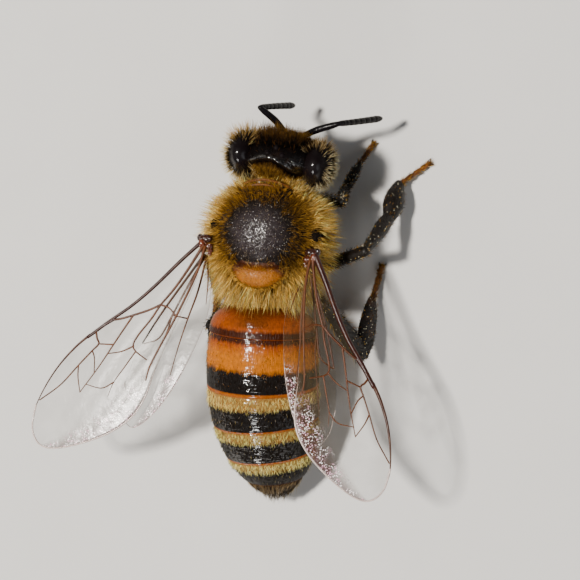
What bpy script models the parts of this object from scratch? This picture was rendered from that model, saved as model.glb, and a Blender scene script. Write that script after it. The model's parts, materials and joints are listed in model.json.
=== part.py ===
"""Worker honey bee at life size, standing still on six feet, as a Blender model.

Metres, +Z up. The bee faces -Y and its left side is +X. The floor under its feet is z = 0, and the
origin is the middle of the model's box on the floor. Sizes below are in millimetres, measured to the
tips of the coat, from the middle of the thorax: (left, back, up). Run with blender --background
--python part.py, or from Blender's text editor.
"""

import math

import bmesh
import bpy
from mathutils import Matrix, Vector
from mathutils.bvhtree import BVHTree

MM = 0.001
GAP = 0.05  # clearance between neighbouring solids
LEAST_RADIUS = 0.25  # half of the thinnest leg or feeler

# Thorax: half width, half height, middle height at each distance behind its middle
THORAX = (
    (-1.85, 0.90, 0.85, 3.20),
    (-1.50, 1.55, 1.35, 3.28),
    (-0.85, 2.12, 1.75, 3.35),
    (0.00, 2.40, 1.92, 3.35),
    (0.85, 2.33, 1.88, 3.32),
    (1.60, 1.98, 1.62, 3.22),
    (2.20, 1.50, 1.25, 3.14),
    (2.60, 0.95, 0.80, 3.10),
)
SCUTELLUM_CENTRE = (0.0, 1.60, 4.74)
SCUTELLUM_HALF = (0.94, 0.54, 0.32)
NECK_RADIUS = 0.55
PETIOLE_RADIUS = 0.50

# Head
HEAD_CENTRE = (-0.22, -2.64, 3.10)
HEAD_HALF = (1.72, 0.98, 1.78)  # across, front of the middle, upwards
HEAD_BACK = 0.68  # depth behind the middle, as a share of that in front
HEAD_NARROWING = 0.40  # how much narrower the jaws are than the brow
HEAD_YAW = math.radians(-5)
EYE_CENTRE = (1.26, 0.02, 0.22)
EYE_HALF = (0.58, 0.76, 1.28)
EYE_LEAN = math.radians(9)
MANDIBLE = ((0.62, -0.30, -1.25), (0.16, -0.48, -1.98))
PROBOSCIS = ((0.0, -0.22, -1.62), (0.0, 0.62, -1.86))

# Antennae: socket on the face, elbow, and tip of the flagellum, with its sideways bow
ANTENNAE = {
    "right": ((-0.70, -3.42, 3.15), (-2.14, -4.05, 3.50), (-3.37, -4.48, 1.75), (0.0, -0.05, 0.30)),
    "left": ((-0.30, -3.42, 3.15), (0.70, -4.38, 3.80), (-0.12, -4.71, 1.85), (0.05, -0.12, 0.20)),
}

# Abdomen: distance back, drop of its axis there in degrees, half width, half height, lean to the right
ABDOMEN_START = (2.62, 3.22)  # back, up
ABDOMEN = (
    (2.75, 4, 1.05, 0.95, 0.00),
    (3.10, 5, 1.86, 1.46, 0.00),
    (4.00, 8, 2.05, 1.66, 0.02),
    (5.00, 12, 2.10, 1.74, 0.05),
    (6.05, 15, 2.08, 1.70, 0.12),
    (7.25, 19, 1.93, 1.52, 0.28),
    (8.35, 24, 1.58, 1.20, 0.46),
    (9.05, 30, 1.18, 0.86, 0.57),
    (9.42, 34, 0.78, 0.54, 0.61),
    (9.66, 36, 0.34, 0.24, 0.63),
)
TERGITE_ENDS = (3.68, 5.62, 6.92, 8.12, 8.90)  # where each ring overlaps the next
TERGITE_STEP = 0.07  # how far a ring's rim stands over the next one
MARGIN_TILT = math.radians(5)  # the rims lean back at the top

# Wings: shared plane of each side, then outlines as (along, towards the leading edge)
WING_THICKNESS = 0.50
WINGS = {  # hinge, sweep out from straight back, lift of the tip, twist of the leading edge downwards
    "right": ((-1.86, 0.84, 4.24), math.radians(20.5), math.radians(4.5), math.radians(17)),
    "left": ((2.08, 0.70, 4.24), math.radians(36.4), math.radians(1.0), math.radians(7)),
}
WING_SIZE = {"right": 1.0, "left": 1.065}  # the left pair lies flatter and shows more of its length
HINDWING_HINGE = (0.34, -0.20)  # from the forewing's hinge: along it, and towards its leading edge
HINDWING_SWEEP = {"right": math.radians(-13), "left": math.radians(-18)}  # from the forewing
FOREWING = (
    (0.00, 0.16), (2.00, 0.24), (4.30, 0.62), (6.00, 0.98), (7.40, 0.92), (8.45, 0.46), (8.92, -0.22),
    (8.35, -0.98), (7.40, -1.58), (6.40, -2.08), (5.50, -2.06), (4.30, -1.62), (2.00, -1.02), (0.00, -0.34),
)
HINDWING = (
    (0.00, 0.22), (1.60, 0.48), (3.40, 0.82), (5.10, 0.86), (6.15, 0.54), (6.46, 0.02),
    (6.02, -0.52), (4.50, -0.96), (2.60, -1.06), (1.20, -0.80), (0.00, -0.28),
)
TEGULA_HALF = (0.34, 0.40, 0.28)

# Legs: hip, trochanter, knee, ankle, heel and toe, and the half widths of femur, tibia and foot
LEGS = {
    "front_right": ((-0.50, -1.00, 2.00), (-0.68, -1.40, 1.20), (-2.28, -1.32, 2.48),
                    (-2.12, -1.73, 0.98), (-2.45, -2.70, 0.48), (-2.90, -3.60, 0.20)),
    "front_left": ((0.50, -0.95, 1.90), (0.46, -1.30, 1.05), (1.50, -1.62, 2.15),
                   (1.42, -2.05, 0.90), (1.30, -3.00, 0.46), (1.05, -3.72, 0.20)),
    "middle_right": ((-0.80, 0.60, 1.95), (-1.30, 1.25, 1.62), (-3.32, 0.49, 2.70),
                     (-3.90, -0.77, 1.35), (-4.06, -2.05, 0.60), (-5.02, -3.04, 0.20)),
    "middle_left": ((0.80, 0.60, 1.95), (0.95, 1.20, 1.30), (2.34, 0.28, 2.55),
                    (2.50, 0.85, 0.85), (2.52, 2.05, 0.46), (2.58, 3.15, 0.20)),
    "hind_right": ((-0.85, 1.50, 2.10), (-1.15, 2.02, 1.60), (-2.06, 2.40, 3.05),
                   (-3.35, 4.13, 1.52), (-3.46, 2.31, 0.58), (-3.64, 0.94, 0.20)),
    "hind_left": ((0.85, 1.50, 2.10), (1.15, 2.10, 1.30), (2.20, 3.45, 2.00),
                  (2.08, 5.10, 0.86), (1.90, 6.90, 0.46), (1.78, 7.95, 0.20)),
}
LEG_WIDTHS = {"front": (0.29, 0.27, 0.26), "middle": (0.30, 0.30, 0.28), "hind": (0.33, 0.48, 0.44)}
LEG_FLATNESS = {"front": 1.0, "middle": 1.0, "hind": 0.58}

COLOURS = {  # base colour, roughness
    "coat_gold": ((0.50, 0.32, 0.11), 0.8),
    "shell_black": ((0.02, 0.017, 0.015), 0.3),
    "eye_black": ((0.008, 0.008, 0.010), 0.15),
    "shell_amber": ((0.52, 0.22, 0.04), 0.35),
    "band_orange": ((0.60, 0.26, 0.04), 0.4),
    "band_brown": ((0.22, 0.14, 0.06), 0.5),
    "leg_brown": ((0.07, 0.04, 0.022), 0.4),
    "wing_smoke": ((0.55, 0.46, 0.34), 0.2),
}


def clear_scene():
    for obj in list(bpy.data.objects):
        bpy.data.objects.remove(obj, do_unlink=True)


def material(slot):
    """The Principled material of one of COLOURS."""
    made = bpy.data.materials.get(slot)
    if made:
        return made
    (red, green, blue), roughness = COLOURS[slot]
    made = bpy.data.materials.new(slot)
    made.use_nodes = True
    surface = made.node_tree.nodes["Principled BSDF"]
    surface.inputs["Base Color"].default_value = (red, green, blue, 1.0)
    surface.inputs["Roughness"].default_value = roughness
    surface.inputs["Metallic"].default_value = 0.0
    return made


class Bee:
    """The collections that the pieces and their cutters go in, and the empty that carries them all."""

    def __init__(self):
        scene = bpy.context.scene.collection
        self.parts = bpy.data.collections.new("honey_bee")
        self.cutters = bpy.data.collections.new("cutters")
        scene.children.link(self.parts)
        scene.children.link(self.cutters)
        self.carrier = bpy.data.objects.new("bee_origin", None)
        scene.objects.link(self.carrier)
        self.placed = {}

    def add(self, name, mesh, slot, place=None):
        """A piece from a mesh, smooth where it is round, cut clear of every piece it would run into."""
        place = place or Matrix.Identity(4)
        mesh.materials.clear()
        mesh.materials.append(material(slot))
        mesh.shade_smooth()
        mesh.set_sharp_from_angle(angle=math.radians(50))
        obj = bpy.data.objects.new(name, mesh)
        obj.matrix_world = place
        obj.parent = self.carrier
        self.parts.objects.link(obj)
        surface = tree_of(mesh, place)
        for other in self.placed.values():
            if tree_of(other.data, other.matrix_world, GAP * MM).overlap(surface):
                self.cut(obj, other)
        self.placed[name] = obj
        return obj

    def cut(self, obj, other):
        """Cuts another piece, grown by the clearance, out of a piece."""
        cutter = self.cutter(f"cut_{obj.name}_by_{other.name}", grown(other.data, GAP * MM))
        cutter.matrix_world = other.matrix_world
        cut = obj.modifiers.new(f"clear_of_{other.name}"[:60], "BOOLEAN")
        cut.operation = "DIFFERENCE"
        cut.solver = "EXACT"
        cut.object = cutter

    def cutter(self, name, mesh):
        obj = bpy.data.objects.new(name, mesh)
        obj.parent = self.carrier
        obj.hide_render = True
        obj.display_type = "WIRE"
        self.cutters.objects.link(obj)
        return obj


def grown(mesh, by):
    """A copy of a mesh with every point moved out along its normal."""
    copy = mesh.copy()
    bm = bmesh.new()
    bm.from_mesh(copy)
    bm.normal_update()
    moved = [(v, v.co + v.normal * by) for v in bm.verts]
    for v, co in moved:
        v.co = co
    bm.to_mesh(copy)
    bm.free()
    return copy


def tree_of(mesh, place, by=0.0):
    """A search tree of a mesh where it stands, grown by a distance, in millimetres."""
    bm = bmesh.new()
    bm.from_mesh(mesh)
    bm.normal_update()
    points = [place @ (v.co + v.normal * by) / MM for v in bm.verts]
    faces = [[v.index for v in face.verts] for face in bm.faces]
    bm.free()
    return BVHTree.FromPolygons(points, faces)


def swept(stations, sides, power=1.0):
    """A closed body: a sphere whose rings are moved to the stations (centre, across, up), in mm."""
    bm = bmesh.new()
    rows = len(stations) + 1
    bmesh.ops.create_uvsphere(bm, u_segments=sides, v_segments=rows, radius=1.0)
    for v in bm.verts:
        row = round(math.acos(max(-1.0, min(1.0, v.co.z))) / math.pi * rows)
        turn = math.atan2(v.co.y, v.co.x)
        centre, across, up = stations[min(max(row - 1, 0), len(stations) - 1)]
        if row in (0, rows):
            v.co = centre * MM
            continue
        c, s = math.cos(turn), math.sin(turn)
        c, s = (math.copysign(abs(x) ** power, x) for x in (c, s))
        v.co = (centre + across * c + up * s) * MM
    return finished(bm)


def finished(bm):
    """The mesh of a closed body, facing outwards."""
    if bm.calc_volume(signed=True) < 0:
        bmesh.ops.reverse_faces(bm, faces=bm.faces)
    mesh = bpy.data.meshes.new("piece")
    bm.to_mesh(mesh)
    bm.free()
    return mesh


def between(points, at):
    """The row of a table at one value of its first column, read along straight lines."""
    for low, high in zip(points, points[1:]):
        if at <= high[0]:
            share = (at - low[0]) / (high[0] - low[0])
            return [a + (b - a) * share for a, b in zip(low, high)]
    return list(points[-1])


def ellipsoid(half, sides=20, rows=12):
    """A closed ball stretched to its three half sizes."""
    bm = bmesh.new()
    bmesh.ops.create_uvsphere(bm, u_segments=sides, v_segments=rows, radius=MM)
    bmesh.ops.scale(bm, vec=half, verts=bm.verts)
    return finished(bm)


def placed(where, *turns):
    """A matrix that turns by each (angle, axis) in order and then moves to a point in mm."""
    matrix = Matrix.Identity(4)
    for angle, axis in turns:
        matrix = Matrix.Rotation(angle, 4, axis) @ matrix
    return Matrix.Translation(Vector(where) * MM) @ matrix


def along(start, end, edge=(0.0, 0.0, 1.0)):
    """A matrix at start whose Z runs to end, with X as near as it can be to the edge's direction."""
    z = (Vector(end) - Vector(start)).normalized()
    y = z.cross(Vector(edge)).normalized()
    matrix = Matrix((y.cross(z), y, z)).transposed().to_4x4()
    matrix.translation = Vector(start) * MM
    return matrix


def limb(length, radii, flatness=1.0, sides=8, bow=(0.0, 0.0)):
    """A segment along +Z with rounded ends: radii at even steps, flattened on Y and bowed sideways."""
    ends = ((0.0, 0.55), (0.30, 0.92))
    first, last = radii[0], radii[-1]
    rows = [(first * z, first * share) for z, share in ends]
    inner = len(radii) - 1
    rows += [(length * (i + 0.5) / inner, radii[i] * 0.5 + radii[i + 1] * 0.5) for i in range(inner)]
    rows += [(length - last * z, last * share) for z, share in reversed(ends)]
    stations = []
    for z, radius in rows:
        rise = 4 * (z / length) * (1 - z / length)
        centre = Vector((bow[0] * rise, bow[1] * rise, z))
        thin = max(radius * flatness, min(radius, LEAST_RADIUS * radius / max(radii)))
        stations.append((centre, Vector((radius, 0, 0)), Vector((0, thin, 0))))
    return swept(stations, sides)


def build_thorax(bee):
    bee.add("scutellum", ellipsoid(SCUTELLUM_HALF), "shell_amber", placed(SCUTELLUM_CENTRE))
    stations = [
        (Vector((0, back, up)), Vector((wide, 0, 0)), Vector((0, 0, tall)))
        for back, wide, tall, up in THORAX
    ]
    bee.add("thorax", swept(stations, 24), "coat_gold")


def build_abdomen(bee):
    """Six rings on a drooping axis, each with its rim standing over the front of the next."""
    rows, up, last = [], ABDOMEN_START[1], ABDOMEN_START[0]
    for back, droop, wide, tall, lean in ABDOMEN:
        up -= (back - last) * math.tan(math.radians(droop))
        rows.append((back, droop, wide, tall, lean, up))
        last = back

    def station(back, inset=0.0):
        _, droop, wide, tall, lean, up = between(rows, back)
        tilt = math.radians(droop) * 0.8 + MARGIN_TILT
        rise = Vector((0, math.sin(tilt), math.cos(tilt))) * (tall - inset)
        return Vector((-lean, back, up)), Vector((wide - inset, 0, 0)), rise

    starts = (rows[0][0], *(end + GAP for end in TERGITE_ENDS))
    ends = (*TERGITE_ENDS, rows[-1][0])
    for number, (start, end) in enumerate(zip(starts, ends), 1):
        step = TERGITE_STEP if number > 1 else 0.0
        kept = [row[0] for row in rows if start + 0.25 < row[0] < end - 0.12]
        stations = [station(start, step), station(start + 0.14, step * 0.6)]
        stations += [station(back) for back in kept] + [station(end)]
        slot = "band_orange" if number < 3 else "band_brown"
        bee.add(f"abdomen_ring_{number}", swept(stations, 24), slot)
    petiole = limb(1.0, (PETIOLE_RADIUS,) * 3, sides=12)
    bee.add("petiole", petiole, "shell_black", along((0, 2.1, 3.10), (0, 3.1, 3.10)))


def build_head(bee):
    """The eyes, the head they are let into, the mouthparts under it and the neck."""
    base = placed(HEAD_CENTRE, (HEAD_YAW, "Z"))
    for side, name in ((1, "left"), (-1, "right")):
        x, y, z = EYE_CENTRE
        place = base @ placed((x * side, y, z), (EYE_LEAN * side, "Y"))
        bee.add(f"eye_{name}", ellipsoid(EYE_HALF, 16, 12), "eye_black", place)
    bm = bmesh.new()
    bmesh.ops.create_uvsphere(bm, u_segments=24, v_segments=14, radius=1.0)
    wide, deep, tall = HEAD_HALF
    for v in bm.verts:
        x, y, z = v.co
        narrow = 1 - HEAD_NARROWING * max(0.0, -z) ** 1.4 - 0.10 * max(0.0, z) ** 2
        depth = deep * (1.0 if y < 0 else HEAD_BACK) * (1 - 0.25 * max(0.0, -z))
        v.co = Vector((x * wide * narrow, y * depth, z * tall)) * MM
    bee.add("head", finished(bm), "shell_black", base)
    for side, name in ((1, "left"), (-1, "right")):
        start, end = (Vector((x * side, y, z)) for x, y, z in MANDIBLE)
        jaw = limb((end - start).length, (0.32, 0.34, 0.26), 0.8)
        bee.add(f"mandible_{name}", jaw, "leg_brown", base @ along(start, end, (1, 0, 0)))
    start, end = (Vector(p) for p in PROBOSCIS)
    tongue = limb((end - start).length, (0.30, 0.32, 0.26), 0.9)
    bee.add("proboscis", tongue, "leg_brown", base @ along(start, end))
    neck = limb(1.9, (NECK_RADIUS,) * 3, sides=12)
    bee.add("neck", neck, "shell_black", along((0.0, -1.1, 3.15), (-0.22, -2.9, 3.15)))


def build_antennae(bee):
    for name, (socket, elbow, tip, bow) in ANTENNAE.items():
        length = (Vector(elbow) - Vector(socket)).length + LEAST_RADIUS
        scape = limb(length, (LEAST_RADIUS,) * 3)
        bee.add(f"antenna_{name}_scape", scape, "shell_black", along(socket, elbow, (1, 0, 0)))
        place = along(elbow, tip, (1, 0, 0))
        aside = place.to_3x3().inverted() @ Vector(bow)
        length = (Vector(tip) - Vector(elbow)).length
        flagellum = limb(length, (LEAST_RADIUS,) * 7, bow=(aside.x, aside.y))
        bee.add(f"antenna_{name}_flagellum", flagellum, "shell_black", place)


def outline_plate(name, points):
    """A flat closed plate of the wing's thickness, from a smooth curve through the outline."""
    curve = bpy.data.curves.new(name, "CURVE")
    curve.dimensions = "2D"
    curve.fill_mode = "BOTH"
    curve.extrude = WING_THICKNESS * MM / 2
    curve.resolution_u = 4
    spline = curve.splines.new("BEZIER")
    spline.bezier_points.add(len(points) - 1)
    for point, (x, y) in zip(spline.bezier_points, points):
        point.co = (x * MM, y * MM, 0)
        point.handle_left_type = point.handle_right_type = "AUTO"
    spline.use_cyclic_u = True
    obj = bpy.data.objects.new(name, curve)
    bpy.context.scene.collection.objects.link(obj)
    bpy.context.view_layer.update()
    flat = bpy.data.meshes.new_from_object(obj.evaluated_get(bpy.context.evaluated_depsgraph_get()))
    bpy.data.objects.remove(obj)
    bm = bmesh.new()
    bm.from_mesh(flat)
    bmesh.ops.remove_doubles(bm, verts=bm.verts, dist=0.0005 * MM)
    bmesh.ops.recalc_face_normals(bm, faces=bm.faces)
    return finished(bm)


def build_wings(bee):
    """Each side's two wings lie in parallel planes, the forewing over the hindwing."""
    for name, side in (("right", -1), ("left", 1)):
        hinge, sweep, lift, twist = WINGS[name]
        heading = (math.pi / 2 - side * sweep, "Z")
        plane = placed(hinge, (side * twist, "X"), (-lift, "Y"), heading)
        level = (WING_THICKNESS + GAP) / 2
        size = WING_SIZE[name]
        blade = outline_plate("forewing", [(x * size, -side * y * size) for x, y in FOREWING])
        bee.add(f"forewing_{name}", blade, "wing_smoke", plane @ placed((0, 0, level)))
        blade = outline_plate("hindwing", [(x * size, -side * y * size) for x, y in HINDWING])
        x, y = HINDWING_HINGE
        place = placed((x, -side * y, -level), (-side * HINDWING_SWEEP[name], "Z"))
        bee.add(f"hindwing_{name}", blade, "wing_smoke", plane @ place)
        where = Vector(hinge) + Vector((side * -0.06, -0.78, 0.22))
        bee.add(f"tegula_{name}", ellipsoid(TEGULA_HALF, 12, 8), "shell_amber", placed(where))


def build_legs(bee):
    """Each leg is a hip, a femur, a tibia, a basitarsus and a tarsus that is cut flat at the floor."""
    bm = bmesh.new()
    bmesh.ops.create_cube(bm, size=30 * MM, matrix=Matrix.Translation((0, 0, -15 * MM)))
    ground = bee.cutter("floor_cutter", finished(bm))
    for name, (hip, trochanter, knee, ankle, heel, toe) in LEGS.items():
        pair = name.split("_")[0]
        thigh, shin, foot = LEG_WIDTHS[pair]
        flat = LEG_FLATNESS[pair]
        runs = (
            ("hip", hip, trochanter, (0.34, 0.36, 0.27), 1.0, "leg_brown"),
            ("femur", trochanter, knee, (0.25, thigh, thigh, 0.25), 1.0, "leg_brown"),
            ("tibia", knee, ankle, (0.25, shin * 0.8, shin, shin * 0.96), flat, "shell_black"),
            ("basitarsus", ankle, heel, (foot * 0.9, foot, foot, foot * 0.85), flat, "shell_black"),
            ("tarsus", heel, toe, (LEAST_RADIUS,) * 4, 1.0, "leg_brown"),
        )
        for segment, start, end, radii, flatness, slot in runs:
            start, end = Vector(start), Vector(end)
            reach = (end - start).length + LEAST_RADIUS * (segment != "tarsus")
            place = along(start, end, (0, 1, 0.4))
            obj = bee.add(f"leg_{name}_{segment}", limb(reach, radii, flatness), slot, place)
            if segment == "tarsus":
                obj.modifiers.new("flat_on_floor", "BOOLEAN").object = ground


def stand_on_origin(bee):
    """Moves the bee so that its box is centred over the origin, feet on the floor."""
    bpy.context.view_layer.update()
    graph = bpy.context.evaluated_depsgraph_get()
    corners = []
    for obj in bee.parts.objects:
        shown = obj.evaluated_get(graph)
        mesh = shown.to_mesh()
        corners += [shown.matrix_world @ v.co for v in mesh.vertices]
        shown.to_mesh_clear()
    low = Vector(map(min, zip(*corners)))
    high = Vector(map(max, zip(*corners)))
    middle = (low + high) / 2
    bee.carrier.location = (-middle.x, -middle.y, -low.z)


def main():
    clear_scene()
    bee = Bee()
    build_thorax(bee)
    build_abdomen(bee)
    build_head(bee)
    build_antennae(bee)
    build_wings(bee)
    build_legs(bee)
    stand_on_origin(bee)


main()
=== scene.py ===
"""Looks of a worker honey bee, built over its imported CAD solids, laid out as an add-on.

Lengths in the code are millimetres from ORIGIN, the floor under the middle of the thorax: (left, back, up).
The bee faces -Y and its left side is +X. Each operator makes one group of pieces.
"""

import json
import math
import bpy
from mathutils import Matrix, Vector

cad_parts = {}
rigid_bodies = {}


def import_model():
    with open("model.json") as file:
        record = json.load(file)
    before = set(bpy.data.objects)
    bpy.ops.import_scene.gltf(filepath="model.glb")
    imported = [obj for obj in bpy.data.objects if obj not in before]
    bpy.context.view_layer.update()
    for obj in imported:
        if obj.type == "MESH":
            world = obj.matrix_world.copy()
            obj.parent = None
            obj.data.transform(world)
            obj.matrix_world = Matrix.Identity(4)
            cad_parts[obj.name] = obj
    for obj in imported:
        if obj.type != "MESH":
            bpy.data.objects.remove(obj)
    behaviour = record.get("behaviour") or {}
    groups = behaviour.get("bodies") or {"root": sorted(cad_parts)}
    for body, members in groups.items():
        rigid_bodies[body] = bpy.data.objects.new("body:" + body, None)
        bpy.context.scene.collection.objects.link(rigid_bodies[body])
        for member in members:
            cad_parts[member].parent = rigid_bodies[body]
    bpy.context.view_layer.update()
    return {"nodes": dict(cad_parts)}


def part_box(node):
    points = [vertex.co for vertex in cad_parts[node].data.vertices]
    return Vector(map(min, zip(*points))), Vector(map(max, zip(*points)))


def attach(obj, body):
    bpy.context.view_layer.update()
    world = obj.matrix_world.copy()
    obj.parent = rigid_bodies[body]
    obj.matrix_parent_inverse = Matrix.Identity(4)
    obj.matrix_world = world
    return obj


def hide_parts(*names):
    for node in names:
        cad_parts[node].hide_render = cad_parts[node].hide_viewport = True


bl_info = {
    "name": "Honey Bee",
    "version": (1, 0, 0),
    "blender": (4, 5, 0),
    "location": "3D View > Sidebar > Bee",
    "description": "Makes the shell, coat, wings and legs of a life-size worker honey bee",
    "category": "Add Mesh",
}

import bmesh
import bpy
import numpy as np
from bpy.props import FloatProperty, FloatVectorProperty, IntProperty, PointerProperty
from mathutils import Matrix, Vector
from mathutils.kdtree import KDTree

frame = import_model()
MM = 0.001
THORAX_FRONT = 1.85  # how far the thorax reaches in front of its middle
THORAX_LOW, THORAX_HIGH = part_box("thorax")
ORIGIN = Vector(((THORAX_LOW.x + THORAX_HIGH.x) / 2, THORAX_LOW.y + THORAX_FRONT * MM, 0.0))
SIDES = (("left", 1), ("right", -1))
UP = Vector((0.0, 0.0, 1.0))

# Bare thorax under its coat: back, half width, half height, height of its middle
THORAX_SHAPE = (
    (-1.76, 0.50, 0.56, 3.22),
    (-1.62, 0.96, 1.00, 3.28),
    (-1.24, 1.42, 1.34, 3.36),
    (-0.66, 1.76, 1.61, 3.44),
    (0.00, 1.93, 1.72, 3.44),
    (0.80, 1.86, 1.66, 3.40),
    (1.40, 1.58, 1.44, 3.30),
    (1.90, 1.15, 1.08, 3.20),
    (2.20, 0.70, 0.70, 3.12),
)
DISC_CENTRE = (0.07, 0.10)  # the nearly bald round of the back
DISC_HALF = (1.22, 1.15)
SHIELD_CENTRE = (0.08, 1.55)  # the amber shield behind it
SHIELD_HALF = (0.90, 0.38)
BACK_LOW = 3.9  # the bald round lies above this

# Abdomen: back, droop in degrees, half width, half height, lean to the right
ABDOMEN_UP = 3.22
ABDOMEN_SHAPE = (
    (2.62, 4, 0.70, 0.65, 0.00),
    (2.75, 4, 1.20, 1.05, 0.00),
    (3.10, 5, 1.84, 1.46, 0.00),
    (4.00, 8, 2.03, 1.65, 0.02),
    (5.00, 12, 2.07, 1.72, 0.05),
    (6.05, 15, 2.04, 1.67, 0.12),
    (7.25, 19, 1.88, 1.48, 0.28),
    (8.35, 24, 1.52, 1.15, 0.46),
    (9.05, 30, 1.04, 0.76, 0.56),
    (9.42, 34, 0.62, 0.44, 0.60),
    (9.64, 36, 0.20, 0.16, 0.62),
)
RING_ENDS = (2.68, 3.66, 5.60, 6.87, 8.03, 8.90, 9.64)
RIM_TILT = math.radians(5)

# Wings: hinge, sweep out from straight back, lift of the tip, twist, the hindwing's sweep, and size
WING_PLACES = {
    "right": ((-1.86, 0.84, 4.24), 20.5, 4.5, 17.0, -13.0, 1.0),
    "left": ((2.12, 0.66, 4.24), 36.4, 0.5, 7.0, -18.0, 1.065),
}
HINDWING_HINGE = (0.34, -0.20)
SLAB = 0.55  # one wing solid and the gap to the next
SKIN_LIFT = 0.08  # a wing's skin lies this far above the middle of its solid

FOREWING_FRONT = ((0.00, 0.10), (1.00, 0.24), (2.20, 0.34), (3.20, 0.50), (4.20, 0.78), (5.20, 0.98),
                  (6.20, 1.07), (7.20, 0.98), (8.02, 0.75), (8.58, 0.42), (8.84, 0.10), (8.92, -0.22))
FOREWING_BACK = ((0.00, -0.12), (0.90, -0.62), (2.20, -1.06), (3.40, -1.40), (4.40, -1.72), (5.20, -2.02),
                 (6.00, -2.12), (6.90, -1.90), (7.80, -1.42), (8.48, -0.92), (8.82, -0.54), (8.92, -0.22))
HINDWING_FRONT = ((0.00, 0.08), (1.20, 0.36), (2.60, 0.66), (3.90, 0.84), (5.10, 0.80), (5.85, 0.60),
                  (6.26, 0.30), (6.38, 0.00))
HINDWING_BACK = ((0.00, -0.10), (0.80, -0.62), (1.80, -0.94), (2.80, -1.00), (4.00, -0.95), (5.10, -0.76),
                 (5.90, -0.46), (6.28, -0.20), (6.38, 0.00))
# Veins: path, radius at the root and at the end, and how dark
FOREWING_VEINS = (
    (((0.00, 0.06), (1.00, 0.18), (2.20, 0.28), (3.20, 0.43), (4.20, 0.70), (4.95, 0.88)),
     0.115, 0.088, 1.0),
    (((3.95, 0.58), (4.35, 0.72), (4.75, 0.82), (5.05, 0.90)), 0.070, 0.105, 1.0),
    (((4.95, 0.90), (5.60, 1.01), (6.40, 1.04), (7.20, 0.95), (8.03, 0.74), (8.50, 0.50)),
     0.075, 0.012, 0.8),
    (((0.05, -0.06), (1.00, -0.22), (1.80, -0.31), (2.52, -0.32)), 0.052, 0.040, 0.5),
    (((2.52, -0.32), (2.95, -0.12), (3.42, 0.17), (3.80, 0.42), (4.05, 0.64)), 0.038, 0.040, 0.6),
    (((2.52, -0.32), (3.10, -0.40), (3.80, -0.43), (4.16, -0.52), (4.26, -0.74), (4.22, -1.22)),
     0.036, 0.026, 0.5),
    (((2.52, -0.32), (2.40, -0.62), (2.44, -1.00)), 0.034, 0.028, 0.5),
    (((0.05, -0.14), (0.90, -0.54), (2.00, -0.88), (3.00, -1.14), (4.22, -1.42), (4.75, -1.66)),
     0.048, 0.028, 0.4),
    (((3.42, 0.17), (4.00, 0.10), (4.62, 0.02), (5.20, -0.06), (5.80, -0.12), (6.62, -0.17)),
     0.034, 0.018, 0.4),
    (((4.62, 0.02), (4.80, 0.24), (4.96, 0.44)), 0.028, 0.026, 0.4),
    (((4.72, 0.80), (4.86, 0.62), (4.96, 0.44), (5.30, 0.46), (6.00, 0.50), (6.90, 0.54), (7.80, 0.76)),
     0.036, 0.024, 0.5),
    (((5.28, 0.46), (5.42, 0.22), (5.80, -0.12)), 0.026, 0.020, 0.4),
    (((5.98, 0.50), (6.28, 0.24), (6.62, -0.17)), 0.026, 0.018, 0.3),
    (((4.18, -0.56), (4.60, -0.36), (4.98, -0.04)), 0.028, 0.020, 0.4),
    (((4.26, -0.74), (4.90, -0.80), (5.56, -0.86), (6.05, -1.02)), 0.026, 0.012, 0.3),
    (((5.56, -0.86), (6.00, -0.66), (6.28, -0.14)), 0.024, 0.016, 0.3),
)
HINDWING_VEINS = (
    (((0.00, 0.06), (1.20, 0.33), (2.60, 0.62), (3.60, 0.78)), 0.050, 0.030, 0.8),
    (((0.00, 0.00), (1.20, 0.12), (2.30, 0.20), (3.20, 0.30), (3.60, 0.72)), 0.044, 0.026, 0.6),
    (((2.30, 0.20), (3.10, 0.12), (4.40, 0.18), (5.30, 0.22)), 0.030, 0.014, 0.5),
    (((0.00, -0.04), (1.20, -0.28), (2.20, -0.36), (3.20, -0.46), (4.20, -0.60)), 0.040, 0.016, 0.5),
    (((2.20, -0.36), (2.26, -0.08), (2.32, 0.20)), 0.028, 0.026, 0.5),
    (((0.10, -0.12), (0.80, -0.48), (1.50, -0.74)), 0.034, 0.014, 0.4),
)

HEAD_HALF = (1.66, 0.90, 1.70)
EYE_HALF = (0.60, 0.78, 1.27)
EYE_LEAN = math.radians(9)
KNOB = (-0.80, 0.16)  # the bump at the right end of the bare top of the head, in the head's frame

RING_OVERLAP = 0.30  # how far an abdomen ring reaches under the one in front
RING_MARKS = {  # marks along each ring from its front to its rim
    # On ring 1 the dark stops at its front are a painted shadow cast by the thorax's hair, and its last stop
    # is the dark amber of its rim
    1: ((0.0, "painted_shadow_and_rim"), (0.14, "painted_shadow_and_rim"), (0.30, "amber"), (0.68, "amber"), (0.80, "brown"), (0.96, "brown"),
        (0.99, "painted_shadow_and_rim")),
    2: ((0.0, "brown"), (0.07, "brown"), (0.13, "amber"), (0.32, "orange"), (0.52, "orange"),
        (0.60, "black"), (0.925, "black"), (0.95, "rim")),
    3: ((0.0, "tan"), (0.30, "tan"), (0.40, "black"), (0.935, "black"), (0.96, "rim")),
    4: ((0.0, "tan"), (0.26, "tan"), (0.36, "black"), (0.92, "black"), (0.95, "rim")),
    5: ((0.0, "tan"), (0.30, "tan"), (0.42, "black"), (0.93, "black"), (0.97, "brown")),
    6: ((0.0, "brown"), (0.3, "brown"), (0.6, "black"), (1.0, "black")),
}
BLACK_BAND = (0.006, 0.004, 0.003)
GLEAM = {1: 0.22, 2: 0.55, 3: 1.0, 4: 1.0, 5: 0.22, 6: 0.15}  # how polished each ring's top is

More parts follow.
